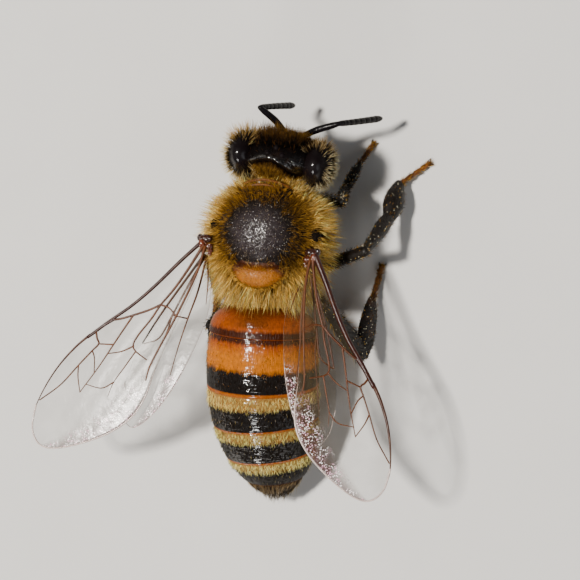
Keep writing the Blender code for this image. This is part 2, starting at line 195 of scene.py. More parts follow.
LEG_NAMES = [f"{pair}_{name}" for pair in ("front", "middle", "hind") for name, _ in SIDES]
BROAD = np.array((0.0, 1.0, 0.4))  # the way a flattened leg is broad
LEG_RADII = {  # femur, tibia at its narrow and broad ends, first foot joint, last foot joints
    "front": (0.24, 0.18, 0.23, 0.19, 0.080),
    "middle": (0.25, 0.19, 0.30, 0.40, 0.085),
    "hind": (0.25, 0.17, 0.44, 0.42, 0.090),
}
LEG_FLAT = {"front": 0.85, "middle": 0.75, "hind": 0.36}
TOE_HEIGHT = 0.13

# Numbers of the small hairs, before they are thinned, and of the grains on one segment of a leg
WISPS, SHIELD_HAIRS, STUBBLE, CROWN_HAIRS, EYE_HAIRS, GRAINS = 2600, 5000, 26000, 16000, 3600, 90
HAIR_TINTS = {
    # sunlit is a painted glow of hair in sunlight, mixed into the thorax's side and rear hair
    "sunlit": (1.0, 0.74, 0.27),
    "straw": (0.80, 0.64, 0.34),
    "pale gold": (0.90, 0.66, 0.26),
    "umber": (0.055, 0.024, 0.007),
    "dark": (0.012, 0.009, 0.007),
    "eye dark": (0.016, 0.009, 0.004),
}

SHELL_EXTRAS = {  # what differs from a plain shell: a polish of its own, or smaller patches of colour
    "back_shell": {"polish": 1.0, "polish_roughness": 0.16, "polish_ior": 1.75},
    "head_shell": {"polish": 1.0, "polish_ior": 2.3},
    "amber_shell": {"patch": 0.25},
}
OFBAKE_PATCH = 0.003  # how wide a strand's place is in the OFBake map
FLOOR_HALF = 400


class BeeSizes(bpy.types.PropertyGroup):
    """Sizes of the bee's pieces."""

    facet: FloatProperty(
        name="Eye facet", description="Width of one facet of an eye", default=0.030 * MM, unit="LENGTH"
    )
    wing_thickness: FloatProperty(
        name="Wing thickness", description="Thickness of a wing's skin", default=0.02 * MM, unit="LENGTH"
    )
    camber: FloatProperty(
        name="Wing camber", description="Rise of the middle of a wing over its edges", default=0.14 * MM,
        unit="LENGTH",
    )
    feeler_radius: FloatProperty(
        name="Feeler radius", description="Half the thickness of a feeler", default=0.118 * MM, unit="LENGTH"
    )


class BeeCoat(bpy.types.PropertyGroup):
    """Numbers and sizes of the hairs."""

    thorax_hairs: IntProperty(name="Thorax hairs", description="Hairs on the thorax", default=27000, min=0)
    abdomen_hairs: IntProperty(
        name="Abdomen hairs", description="Hairs on the abdomen", default=42000, min=0
    )
    head_hairs: IntProperty(name="Head hairs", description="Hairs on the head", default=11000, min=0)
    leg_hairs: IntProperty(name="Leg hairs", description="Hairs on one leg", default=1900, min=0)
    thickness: FloatProperty(
        name="Hair thickness", description="Half the thickness of a hair at its root", default=0.0125 * MM,
        unit="LENGTH",
    )


class BeeColours(bpy.types.PropertyGroup):
    """Colours of the bee's shell, coat and wings."""

    black: FloatVectorProperty(
        name="Black shell", description="Shell of the back and legs", default=(0.008, 0.0055, 0.004),
        subtype="COLOR",
    )
    amber: FloatVectorProperty(
        name="Amber shell", description="Shell behind the back's round", default=(0.32, 0.102, 0.004),
        subtype="COLOR",
    )
    orange: FloatVectorProperty(
        name="Orange bands", description="Pale bands of the abdomen", default=(0.40, 0.112, 0.002),
        subtype="COLOR",
    )
    gold: FloatVectorProperty(
        name="Golden hair", description="Hair round the back's round", default=(0.29, 0.135, 0.012),
        subtype="COLOR",
    )
    cream: FloatVectorProperty(
        name="Cream hair", description="Long hair of the sides and rear", default=(0.80, 0.45, 0.075),
        subtype="COLOR",
    )
    membrane: FloatVectorProperty(
        name="Wing skin", description="Clear skin of the wings", default=(0.10, 0.075, 0.038),
        subtype="COLOR",
    )
    vein: FloatVectorProperty(
        name="Wing veins", description="Thin veins of the wings", default=(0.15, 0.048, 0.011),
        subtype="COLOR",
    )


# ---------------------------------------------------------------- places and curves


def spot(x, y, z):
    """The place of a point that is given in mm from ORIGIN."""
    return ORIGIN + Vector((x, y, z)) * MM


def curve_through(points, count):
    """Evenly numbered points on a smooth curve through the given ones, as an array."""
    given = np.array(points, float)
    padded = np.vstack((2 * given[0] - given[1], given, 2 * given[-1] - given[-2]))
    place = np.linspace(0, len(given) - 1, count)
    step = np.minimum(place.astype(int), len(given) - 2)
    t = (place - step)[:, None]
    a, b, c, d = (padded[step + i] for i in range(4))
    return 0.5 * (2 * b + (c - a) * t + (2 * a - 5 * b + 4 * c - d) * t**2 + (3 * b - a - 3 * c + d) * t**3)


def bell(value, middle, width):
    """One at the middle, falling smoothly to nothing a few widths away."""
    return np.exp(-(((value - middle) / width) ** 2))


def ramp(value, low, high):
    """Nought below low, one above high, and smooth between them."""
    t = np.clip((value - low) / (high - low), 0, 1)
    return t * t * (3 - 2 * t)


def unit(vectors):
    """The same directions, one unit long."""
    return vectors / np.maximum(np.linalg.norm(vectors, axis=-1, keepdims=True), 1e-9)


def ends_of(node, near):
    """The two ends of a long CAD solid, in mm from ORIGIN, the one that is nearer to a point first."""
    cos = np.array([v.co for v in frame["nodes"][node].data.vertices], float)
    cos = (np.unique(np.round(cos, 7), axis=0) - np.array(ORIGIN)) / MM
    middle = cos.mean(0)
    axis = np.linalg.svd(cos - middle, full_matrices=False)[2][0]
    reach = (cos - middle) @ axis
    ends = [middle + axis * reach.min(), middle + axis * reach.max()]
    return sorted(ends, key=lambda end: np.linalg.norm(end - near))


def places_of(bm):
    """The places of a bmesh's points, in mm from ORIGIN."""
    return (np.array([v.co for v in bm.verts]) - np.array(ORIGIN)) / MM


def middle_of(node):
    """The middle of a CAD solid's box, in mm from ORIGIN."""
    low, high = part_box(node)
    return np.array((low + high) / 2 - ORIGIN) / MM


# ---------------------------------------------------------------- meshes


def swept(centres, across, rise, segments, along=None, shade=None, power=1.0):
    """A closed body in mm: a ball whose rings are moved to centres, each with two half sizes as vectors.

    Each point keeps "along", its ring's mark, "rise", 1 on top and -1 underneath, and "shade"; its "gloss"
    starts at nought.
    """
    count = len(centres)
    bm = bmesh.new()
    bm.loops.layers.uv.new("UVMap")
    layers = {name: bm.verts.layers.float.new(name) for name in ("along", "rise", "shade", "gloss")}
    bmesh.ops.create_uvsphere(bm, u_segments=segments, v_segments=count + 1, radius=1.0, calc_uvs=True)
    ball = np.array([v.co for v in bm.verts])
    rows = np.rint(np.arccos(np.clip(ball[:, 2], -1, 1)) / math.pi * (count + 1)).astype(int) - 1
    pole = (rows < 0) | (rows >= count)
    rows = np.clip(rows, 0, count - 1)
    turn = np.arctan2(ball[:, 1], ball[:, 0])
    c, s = (np.sign(f) * np.abs(f) ** power for f in (np.cos(turn), np.sin(turn)))
    c, s = np.where(pole, 0, c), np.where(pole, 0, s)
    places = np.array(centres)[rows]
    places = places + np.array(across)[rows] * c[:, None] + np.array(rise)[rows] * s[:, None]
    along = np.linspace(0, 1, count) if along is None else np.array(along)
    shade = np.zeros(count) if shade is None else np.array(shade)
    for v, place, row, up in zip(bm.verts, places, rows, s):
        v.co = spot(*place)
        v[layers["along"]] = along[row]
        v[layers["rise"]] = up
        v[layers["shade"]] = shade[row]
    return bm


def tube(path, radii, segments, flat=1.0, edge=(0.13, 0.21, 0.97), **marks):
    """A closed tube in mm along a path, flattened across its edge direction, with round ends."""
    path, radii = np.array(path, float), np.array(radii, float)
    heading = unit(np.gradient(path, axis=0))
    side = unit(np.cross(heading, np.array(edge)))
    wide = unit(np.cross(side, heading))
    first, last = radii[0], radii[-1]
    turns = np.radians((72, 40))
    caps = [(path[0] - heading[0] * first * math.sin(a) * flat, first * math.cos(a)) for a in turns]
    tips = [(path[-1] + heading[-1] * last * math.sin(a) * flat, last * math.cos(a)) for a in turns[::-1]]
    centres = [c for c, _ in caps] + list(path) + [c for c, _ in tips]
    sizes = [r for _, r in caps] + list(radii) + [r for _, r in tips]
    wides = [wide[0]] * 2 + list(wide) + [wide[-1]] * 2
    sides = [side[0]] * 2 + list(side) + [side[-1]] * 2
    sizes = np.array(sizes)[:, None]
    ends = {k: np.concatenate(([v[0]] * 2, v, [v[-1]] * 2)) for k, v in marks.items()}
    return swept(centres, np.array(wides) * sizes, np.array(sides) * sizes * flat, segments, **ends)


def ball(place, half, segments, rings, turn=None, shade=0.0):
    """A ball in mm stretched to its three half sizes, turned by a rotation matrix and moved to its place."""
    rings_at = np.linspace(0, math.pi, rings + 2)[1:-1]
    turn = np.eye(3) if turn is None else turn
    centres = [np.array(place) + turn @ np.array((0, 0, half[2] * math.cos(a))) for a in rings_at]
    across = [turn @ np.array((half[0] * math.sin(a), 0, 0)) for a in rings_at]
    rise = [turn @ np.array((0, half[1] * math.sin(a), 0)) for a in rings_at]
    bm = swept(centres, across, rise, segments, shade=[shade] * rings)
    for side in (1, -1):
        upwards = Vector(turn[:, 2] * side)
        end = max(bm.verts, key=lambda v: (v.co - spot(*place)).dot(upwards))
        end.co = spot(*(np.array(place) + turn[:, 2] * half[2] * side))
    return bm


def moulded(bm, change):
    """Moves every point by change(places, normals), which gives moves in mm."""
    bm.normal_update()
    normals = np.array([v.normal for v in bm.verts])
    for v, move in zip(bm.verts, change(places_of(bm), normals)):
        v.co += Vector(move) * MM
    return bm


def marked(bm, layer, value):
    """Sets a mark on every point by value(places), which takes their places in mm."""
    kept = bm.verts.layers.float[layer]
    for v, amount in zip(bm.verts, np.clip(value(places_of(bm)), 0, 1)):
        v[kept] = amount
    return bm


def joined(*parts):
    """One bmesh that holds several."""
    whole = bmesh.new()
    for part in parts:
        mesh = finished(part)
        whole.from_mesh(mesh)
        bpy.data.meshes.remove(mesh)
    return whole


def finished(bm):
    """The mesh of a closed bmesh, facing outwards."""
    if bm.calc_volume(signed=True) < 0:
        bmesh.ops.reverse_faces(bm, faces=bm.faces)
    mesh = bpy.data.meshes.new("mesh")
    bm.to_mesh(mesh)
    bm.free()
    return mesh


def piece(name, shape, finish, slot, *nodes):
    """A smooth shaded piece with a material's finish, which rides on the body and stands for CAD nodes."""
    mesh = shape if isinstance(shape, bpy.types.Mesh) else finished(shape)
    mesh.name = name
    mesh.materials.clear()
    mesh.materials.append(material(finish))
    mesh.shade_smooth()
    obj = bpy.data.objects.new(name, mesh)
    bpy.context.scene.collection.objects.link(obj)
    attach(obj, "root")
    if nodes:
        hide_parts(*nodes)
    return obj


# ---------------------------------------------------------------- coat


def in_order(corners, loops):
    """Triangles sorted by their points, lowest first, as a ball's faces come in another order each time."""
    turn = (corners.argmin(1)[:, None] + np.arange(3)) % 3
    corners, loops = (np.take_along_axis(kind, turn, 1) for kind in (corners, loops))
    order = np.lexsort(corners.T[::-1])
    return corners[order], loops[order]


def read(items, key, width, kind=np.float32):
    """One value of every item of a mesh, as an array with rows of a width."""
    values = np.empty(len(items) * width, kind)
    items.foreach_get(key, values)
    return values.reshape(-1, width)


def roots_on(obj, count, rng, keep):
    """Random places on a skin in mm, spread evenly and thinned by keep(places, normals, marks).

    Gives the places, the ways they face, their places in the skin's map, and their marks.
    """
    mesh = obj.data
    mesh.calc_loop_triangles()
    cos = (read(mesh.vertices, "co", 3) - np.array(ORIGIN)) / MM
    normals = read(mesh.vertices, "normal", 3)
    uvs = read(mesh.uv_layers["UVMap"].data, "uv", 2)
    corners, loops = in_order(
        *(read(mesh.loop_triangles, key, 3, np.int32) for key in ("vertices", "loops"))
    )
    tri = cos[corners]
    area = np.linalg.norm(np.cross(tri[:, 1] - tri[:, 0], tri[:, 2] - tri[:, 0]), axis=1)
    picked = rng.choice(len(tri), count, p=area / area.sum())
    shares = rng.dirichlet((1, 1, 1), count)[:, :, None]
    marks = {}
    for name in ("along", "rise"):
        values = read(mesh.attributes[name].data, "value", 1)[:, 0]
        marks[name] = (values[corners[picked]] * shares[:, :, 0]).sum(1)
    places = (tri[picked] * shares).sum(1)
    facing = unit((normals[corners[picked]] * shares).sum(1))
    patch = (uvs[loops[picked]] * shares).sum(1)
    kept = rng.random(count) < keep(places, facing, marks)
    marks = {name: values[kept] for name, values in marks.items()}
    return places[kept], facing[kept], patch[kept], marks


def strand(cuts):
    """A three-sided cone one unit high, cut across at a few heights: its points and its faces."""
    bm = bmesh.new()
    bmesh.ops.create_cone(bm, cap_ends=True, segments=3, radius1=1, radius2=0, depth=1)
    bmesh.ops.translate(bm, vec=(0, 0, 0.5), verts=bm.verts)
    for height in cuts:
        geom = bm.verts[:] + bm.edges[:] + bm.faces[:]
        bmesh.ops.bisect_plane(bm, geom=geom, plane_co=(0, 0, height), plane_no=(0, 0, 1))
    bm.verts.index_update()
    points = np.array([v.co for v in bm.verts])
    faces = [[v.index for v in face.verts] for face in bm.faces]
    bm.free()
    return points, faces


def gathered(places, size, rng):
    """For each hair, the number of the hair in the middle of its tuft."""
    middles = rng.choice(len(places), max(1, len(places) // size), replace=False)
    tree = KDTree(len(middles))
    for number in middles:
        tree.insert(places[number], number)
    tree.balance()
    return np.array([tree.find(place)[1] for place in places])


def grow(name, roots, lie, length, tints, slot="coat_gold", bend=0.0, *, width, tuft, seed, cuts=(0.45,),
         pull=0.45, stray=0.16, fade=0.7, uneven=0.16):
    """One joined mesh of strands in tufts that lean together, each with its own stray and lightness.

    tints are the root's and the tip's colours, one row for each strand. With a high fade the root's colour
    reaches further up.
    """
    places, _, patch, _ = roots
    count = len(places)
    rng = np.random.default_rng(seed)
    points, faces = strand(cuts)
    middles = gathered(places, tuft, rng)
    length = np.broadcast_to(length, (count,)) * (0.85 + 0.3 * rng.random(count))[middles]
    heading = unit(unit(lie) + rng.normal(size=(count, 3))[middles] * stray)
    bend = (places[middles] - places) / length[:, None] * pull + bend
    lightness = (1 + uneven * rng.normal(size=count)[middles] + 0.10 * rng.normal(size=count))[:, None]
    tints = [np.broadcast_to(tint, (count, 3)) * lightness.clip(0.4, 1.8) for tint in tints]
    side = unit(np.cross(heading, rng.normal(size=(count, 3))))
    other = np.cross(heading, side)
    t = points[:, 2][None, :, None]
    turn = np.arctan2(points[:, 1], points[:, 0])
    coat = bpy.context.scene.bee_coat
    size = np.where(points[:, 2] > 0.999, 0.0, (1 - points[:, 2]) ** 0.5) * coat.thickness / MM
    size = (np.broadcast_to(width, (count,))[:, None] * size[None, :])[:, :, None]
    length = length[:, None, None]
    cos = places[:, None] + heading[:, None] * length * t + bend[:, None] * length * t**2
    around = side[:, None] * np.cos(turn)[None, :, None] + other[:, None] * np.sin(turn)[None, :, None]
    cos += around * size
    cos[:, :, 2] = np.maximum(cos[:, :, 2], 0.004)
    root, tip = (np.broadcast_to(c, (count, 3))[:, None] for c in tints)
    colours = root + (tip - root) * t**fade
    mesh = bpy.data.meshes.new(name)
    stride = len(points)
    flat = np.concatenate(faces)
    first = np.cumsum([0] + [len(face) for face in faces[:-1]])
    numbers = np.arange(count)[:, None]
    corners = (flat[None, :] + numbers * stride).ravel()
    starts = (first[None, :] + numbers * len(flat)).ravel()
    mesh.vertices.add(count * stride)
    mesh.vertices.foreach_set("co", (cos * MM + np.array(ORIGIN)).astype(np.float32).ravel())
    mesh.loops.add(len(corners))
    mesh.loops.foreach_set("vertex_index", corners.astype(np.int32))
    mesh.polygons.add(len(starts))
    mesh.polygons.foreach_set("loop_start", starts.astype(np.int32))
    mesh.update(calc_edges=True)
    tint = mesh.color_attributes.new("tint", "FLOAT_COLOR", "POINT")
    rgba = np.concatenate((colours, np.ones((count, stride, 1))), axis=2)
    tint.data.foreach_set("color", rgba.clip(0, 1).astype(np.float32).ravel())
    spread = np.stack((np.cos(turn) * 0.35 * (1 - points[:, 2]), points[:, 2] - 0.5), axis=1)
    uv = (patch[:, None] + (spread * OFBAKE_PATCH)[None]).clip(0.0, 1.0).reshape(-1, 2)
    layer = mesh.uv_layers.new(name="OFBake")
    layer.data.foreach_set("uv", uv[corners].astype(np.float32).ravel())
    return piece(name, mesh, "hair", slot)


def gold_and_cream():
    """The two colours of the long hair."""
    colours = bpy.context.scene.bee_colours
    return np.array(colours.gold), np.array(colours.cream)


def scattered(rng, count, spread):
    """A random move for each of a number of hairs."""
    return rng.normal(size=(count, 3)) * spread


def mixed(first, second, share):
    """Rows of colour between two, by a share for each row."""
    share = np.asarray(share)[:, None]
    return np.asarray(first) * (1 - share) + np.asarray(second) * share


# ---------------------------------------------------------------- materials


def feed(tree, node, inputs):
    """Sets a node's inputs, or links them to the outputs that are given for them."""
    for key, value in inputs.items():
        socket = node.inputs[key]
        if isinstance(value, bpy.types.NodeSocket):
            tree.links.new(value, socket)
        else:
            socket.default_value = (*value, 1.0) if socket.type == "RGBA" else value
    return node


def add(tree, kind, inputs, **settings):
    """A node with its settings, and its inputs set or linked."""
    made = tree.nodes.new(kind)
    for key, value in settings.items():
        setattr(made, key, value)
    return feed(tree, made, inputs)


def attribute(tree, name, output="Fac"):
    """A mark of the mesh, as a number or a colour."""
    return add(tree, "ShaderNodeAttribute", {}, attribute_name=name).outputs[output]


def stretched(tree, where, scale):
    """Coordinates scaled along each axis."""
    return add(tree, "ShaderNodeMapping", {"Vector": where, "Scale": scale}).outputs[0]


def millimetres(tree):
    """Object coordinates in millimetres."""
    return stretched(tree, add(tree, "ShaderNodeTexCoord", {}).outputs["Object"], (1000,) * 3)


def noise(tree, where, scale, detail, **more):
    """Soft noise from nought to one."""
    inputs = {"Vector": where, "Scale": scale, "Detail": detail, **more}
    return add(tree, "ShaderNodeTexNoise", inputs).outputs[0]


def cells(tree, where, scale, randomness=1.0):
    """How far the nearest cell's middle is."""
    inputs = {"Vector": where, "Scale": scale, "Randomness": randomness}
    return add(tree, "ShaderNodeTexVoronoi", inputs).outputs["Distance"]


def remap(tree, value, low, high, least=0.0, most=1.0):
    """A value that runs from low to high, made to run from least to most."""
    inputs = {"Value": value, "From Min": low, "From Max": high, "To Min": least, "To Max": most}
    return add(tree, "ShaderNodeMapRange", inputs).outputs[0]


def maths(tree, operation, first, second, use_clamp=False):
    """Two numbers put together by a Math node."""
    inputs = {0: first, 1: second}
    return add(tree, "ShaderNodeMath", inputs, operation=operation, use_clamp=use_clamp).outputs[0]


def blended(tree, share, first, second):
    """A colour between two, by a share."""
    return add(tree, "ShaderNodeMix", {0: share, 6: first, 7: second}, data_type="RGBA").outputs[2]


def bumped(tree, height, depth, strength=1.0, invert=False):
    """The way that a surface with a relief faces, by its height and its depth in mm."""
    inputs = {"Height": height, "Distance": depth * MM, "Strength": strength}
    return add(tree, "ShaderNodeBump", inputs, invert=invert).outputs[0]


def new_group(name, inputs, outputs):
    """A shader node group with named sockets: the tree, what it is given, and its output node."""
    tree = bpy.data.node_groups.new(name, "ShaderNodeTree")
    for direction, sockets in (("INPUT", inputs), ("OUTPUT", outputs)):
        for label, kind, value in sockets:
            socket = tree.interface.new_socket(label, in_out=direction, socket_type=f"NodeSocket{kind}")
            if value is not None:
                socket.default_value = value
    return tree, tree.nodes.new("NodeGroupInput").outputs, tree.nodes.new("NodeGroupOutput")


def pits_group():
    """Fine grain and pits of a shell: a height, and a mask of the pits."""
    made = bpy.data.node_groups.get("shell_pits")
    if made:
        return made
    tree, given, result = new_group(
        "shell_pits",
        (("Vector", "Vector", None), ("Pit size", "Float", 0.03), ("Grain", "Float", 0.3)),
        (("Height", "Float", None), ("Pits", "Float", None)),
    )
    scale = maths(tree, "DIVIDE", 1.0, given["Pit size"])
    pits = remap(tree, cells(tree, given["Vector"], scale), 0.15, 0.6)
    grain = maths(tree, "MULTIPLY", noise(tree, given["Vector"], scale, 3.0), given["Grain"])
    feed(tree, result, {"Height": maths(tree, "ADD", pits, grain), "Pits": pits})
    return tree


def mottle_group():
    """Uneven colour: a colour made lighter and darker in soft patches and fine grain."""
    made = bpy.data.node_groups.get("mottle")
    if made:
        return made
    tree, given, result = new_group(
        "mottle",
        (("Vector", "Vector", None), ("Color", "Color", None), ("Patch size", "Float", 0.4),
         ("Amount", "Float", 0.3)),
        (("Color", "Color", None),),
    )
    scale = maths(tree, "DIVIDE", 1.0, given["Patch size"])
    patches = noise(tree, given["Vector"], scale, 5.0, Roughness=0.65)
    low, high = (maths(tree, way, 1.0, given["Amount"]) for way in ("SUBTRACT", "ADD"))
    level = remap(tree, patches, 0.3, 0.7, low, high)
    scaled = add(tree, "ShaderNodeVectorMath", {0: given["Color"], "Scale": level}, operation="SCALE")
    feed(tree, result, {"Color": scaled.outputs[0]})
    return tree


def pitted(tree, where, pit, grain=0.3):
    """The height and the mask of pits of one size in mm."""
    inputs = {"Vector": where, "Pit size": pit, "Grain": grain}
    made = add(tree, "ShaderNodeGroup", inputs, node_tree=pits_group())
    return made.outputs["Height"], made.outputs["Pits"]


def mottled(tree, where, colour, patch, amount):
    """A colour made uneven in patches of one size in mm."""
    inputs = {"Vector": where, "Color": colour, "Patch size": patch, "Amount": amount}
    return add(tree, "ShaderNodeGroup", inputs, node_tree=mottle_group()).outputs[0]


def new_material(name, **constants):
    """A material, its tree and its Principled shader, with the values that are the same all over set."""
    made = bpy.data.materials.new(name)
    made.use_nodes = True
    tree = made.node_tree
    constants = {key.replace("_", " "): value for key, value in constants.items()}
    return made, tree, feed(tree, tree.nodes["Principled BSDF"], constants)


def shell(name, dark, light, roughness, specular, pit, depth, patch=0.4, polish=0.0, polish_roughness=0.07,
          polish_ior=1.5):
    """Hard shell, from dark to light by "shade", finely pitted, and polished by "gloss"."""
    made, tree, surface = new_material(name, Specular_IOR_Level=specular, Coat_Roughness=polish_roughness,
                                       Coat_IOR=polish_ior)
    where = millimetres(tree)
    wander = remap(tree, noise(tree, where, 3.0, 4.0), 0.3, 0.7, -0.18, 0.18)
    share = maths(tree, "ADD", attribute(tree, "shade"), wander, use_clamp=True)
    height, pits = pitted(tree, where, pit)
    bump = bumped(tree, height, depth)
    feed(tree, surface, {
        "Base Color": mottled(tree, where, blended(tree, share, dark, light), patch, 0.25),
        "Normal": bump,
        "Roughness": remap(tree, pits, 0.0, 1.0, roughness + 0.12, roughness),
    })
    if polish:
        broken = remap(tree, noise(tree, where, 11.0, 1.0), 0.44, 0.54, 0.28, polish)
        gloss = maths(tree, "MULTIPLY", attribute(tree, "gloss"), broken)
        feed(tree, surface, {"Coat Weight": gloss, "Coat Normal": bump})
    return made


def hair_material():
    """Hair, coloured by its own "tint"."""
    made, tree, surface = new_material("hair", Roughness=0.55, Specular_IOR_Level=0.08)
    tint = attribute(tree, "tint", "Color")
    feed(tree, surface, {"Base Color": mottled(tree, millimetres(tree), tint, 0.5, 0.22)})
    return made


def banded(name, stops, gleam):
    """The shell of one abdomen ring: colours at marks along it, with ragged edges, and paler underneath."""
    made, tree, surface = new_material(name, Specular_IOR_Level=0.05, Coat_Roughness=0.09, Coat_IOR=1.8)
    where = millimetres(tree)
    along, rise = attribute(tree, "along"), attribute(tree, "rise")
    streaks = stretched(tree, where, (9.0, 1.2, 9.0))
    ragged = noise(tree, streaks, 1.0, 4.0)
    wander = remap(tree, ragged, 0.3, 0.7, -0.035, 0.035)
    steady = remap(tree, along, 0.76, 0.88, 1.0, 0.08)
    wander = maths(tree, "MULTIPLY", wander, steady)
    colours = add(tree, "ShaderNodeValToRGB", {"Fac": maths(tree, "ADD", along, wander)})
    points = colours.color_ramp.elements
    while len(points) < len(stops):
        points.new(1.0)
    for point, (place, colour) in zip(points, stops):
        point.position = place
        point.color = (*colour, 1.0)
    under = remap(tree, rise, -0.35, -0.75)
    base = blended(tree, under, colours.outputs["Color"], (0.16, 0.070, 0.014))
    # Painted shadow: mixed towards dark brown where the shade mark says so, which only the first ring's
    # front has
    base = blended(tree, attribute(tree, "shade"), base, (0.075, 0.022, 0.003))
    polish = remap(tree, rise, 0.60, 0.92, 0.04, gleam)
    strokes = noise(tree, stretched(tree, where, (13.0, 5.0, 13.0)), 1.0, 1.0)
    ribs = stretched(tree, where, (1.6, 18.0, 1.6))
    feed(tree, surface, {
        "Base Color": mottled(tree, where, base, 0.12, 0.3),
        "Roughness": remap(tree, ragged, 0.0, 1.0, 0.30, 0.48),
        "Normal": bumped(tree, pitted(tree, streaks, 0.4)[0], 0.010),
        "Coat Weight": maths(tree, "MULTIPLY", polish, remap(tree, strokes, 0.42, 0.52)),
        "Coat Normal": bumped(tree, pitted(tree, ribs, 1.0, 0.8)[0], 0.009),
    })
    return made


def eye_material():
    """Soft black broken into small facets, polished where "gloss" says so."""
    made, tree, surface = new_material("eye_gloss", Specular_IOR_Level=0.05, Coat_Roughness=0.06)
    where = millimetres(tree)
    facets = cells(tree, where, MM / bpy.context.scene.bee_sizes.facet, 0.25)
    bump = bumped(tree, facets, 0.004, 0.55, invert=True)
    clouds = noise(tree, where, 1.4, 2.0)
    feed(tree, surface, {
        "Base Color": blended(tree, clouds, (0.003, 0.002, 0.003), (0.008, 0.005, 0.005)),
        "Roughness": remap(tree, facets, 0.0, 1.0, 0.42, 0.55),
        "Normal": bump,
        "Coat Weight": attribute(tree, "gloss"),
        "Coat Normal": bump,
    })
    return made


def membrane_material():
    """Clear smoky wing skin with a wrinkled gloss, and painted glints, white and pink opaque specks of
    colour, where "shade" says the outer rim is.
    """
    made, tree, surface = new_material("wing_skin", Roughness=0.20, Specular_IOR_Level=0.32)
    where = millimetres(tree)
    rim = attribute(tree, "shade")
    # Painted glints: pale specks of colour, made opaque, gather in clumps along the outer rim
    specks = remap(tree, cells(tree, where, 15.0), 0.43, 0.33)
    clumps = remap(tree, noise(tree, where, 3.2, 4.0), 0.40, 0.54)
    few = maths(tree, "MULTIPLY", maths(tree, "MULTIPLY", rim, clumps), 2.0, use_clamp=True)
    painted_glints = maths(tree, "MULTIPLY", specks, few, use_clamp=True)
    tinge = remap(tree, noise(tree, where, 7.0, 1.0), 0.48, 0.58)
    glint_colour = blended(tree, tinge, (1.0, 0.97, 0.96), (0.90, 0.52, 0.66))
    base = mottled(tree, where, tuple(bpy.context.scene.bee_colours.membrane), 1.2, 0.35)
    base = blended(tree, rim, base, (0.11, 0.05, 0.045))
    haze = remap(tree, noise(tree, where, 0.9, 4.0), 0.3, 0.7, 0.05, 0.14)
    haze = maths(tree, "ADD", haze, maths(tree, "MULTIPLY", rim, 0.42))
    wrinkles = noise(tree, where, 2.6, 5.0, Distortion=0.6)
    feed(tree, surface, {
        "Base Color": blended(tree, painted_glints, base, glint_colour),
        "Alpha": maths(tree, "MAXIMUM", haze, painted_glints),
        "Normal": bumped(tree, wrinkles, 0.03, 0.4),
    })
    return made


def floor_material():
    """Plain pale paper."""
    made, tree, surface = new_material("floor_paper", Roughness=0.85)
    feed(tree, surface, {"Base Color": mottled(tree, millimetres(tree), (0.74, 0.73, 0.71), 6.0, 0.02)})
    return made


def material(name):
    """A shared material by name, made the first time it is asked for."""
    found = bpy.data.materials.get(name)
    if found:
        return found
    colours = bpy.context.scene.bee_colours
    black, amber, vein = (tuple(colour) for colour in (colours.black, colours.amber, colours.vein))
    shells = {  # dark colour, light colour, roughness, specular level, size and depth of the pits
        # back_shell's light colour is the painted highlight in the middle of the back's bald round
        "back_shell": (black, (0.034, 0.024, 0.026), 0.40, 0.12, 0.034, 0.034),
        "head_shell": ((0.003, 0.002, 0.002), (0.04, 0.018, 0.008), 0.45, 0.06, 0.05, 0.006),
        "amber_shell": ((0.035, 0.008, 0.002), amber, 0.38, 0.25, 0.055, 0.014),
        "leg_shell": (black, (0.24, 0.080, 0.012), 0.34, 0.22, 0.05, 0.010),
        "matt_shell": (black, (0.05, 0.03, 0.012), 0.8, 0.04, 0.06, 0.03),
        "hinge_shell": ((0.010, 0.004, 0.003), (0.11, 0.020, 0.004), 0.14, 0.9, 0.07, 0.014),
        "feeler_shell": ((0.005, 0.004, 0.005), (0.010, 0.007, 0.005), 0.17, 0.14, 0.05, 0.003),
        "vein_shell": (vein, (0.030, 0.006, 0.004), 0.34, 0.3, 0.10, 0.004),
        # the hem's pale colour round the wing's tip is a painted highlight along the edge
        "hem_and_painted_highlight": ((0.20, 0.10, 0.06), (0.62, 0.50, 0.46), 0.18, 0.8, 0.05, 0.006),
    }
    if name in shells:
        return shell(name, *shells[name], **SHELL_EXTRAS.get(name, {}))
    others = {"hair": hair_material, "eye_gloss": eye_material, "wing_skin": membrane_material,
              "floor_paper": floor_material}
    return others[name]()


# ---------------------------------------------------------------- head


def head_frame():
    """The head's middle in mm, and its turn, from its eyes."""
    left, right = middle_of("eye_left"), middle_of("eye_right")
    across = left - right
    yaw = math.atan2(across[1], across[0])
    middle = (left + right) / 2
    middle[2] = middle_of("head")[2]
    return middle, np.array(Matrix.Rotation(yaw, 3, "Z"))


def on_head(x, y, z):
    """A point in the head's own frame, in mm from ORIGIN."""
    middle, turn = head_frame()
    return middle + turn @ np.array((x, y, z))


def nape_line(x):
    """How far back the head's bare top reaches, in the head's frame: least a little left of the middle."""
    return 0.04 + np.where(x > 0.12, 0.26, 0.58) * (np.abs(x - 0.12) / 1.1) ** 1.4


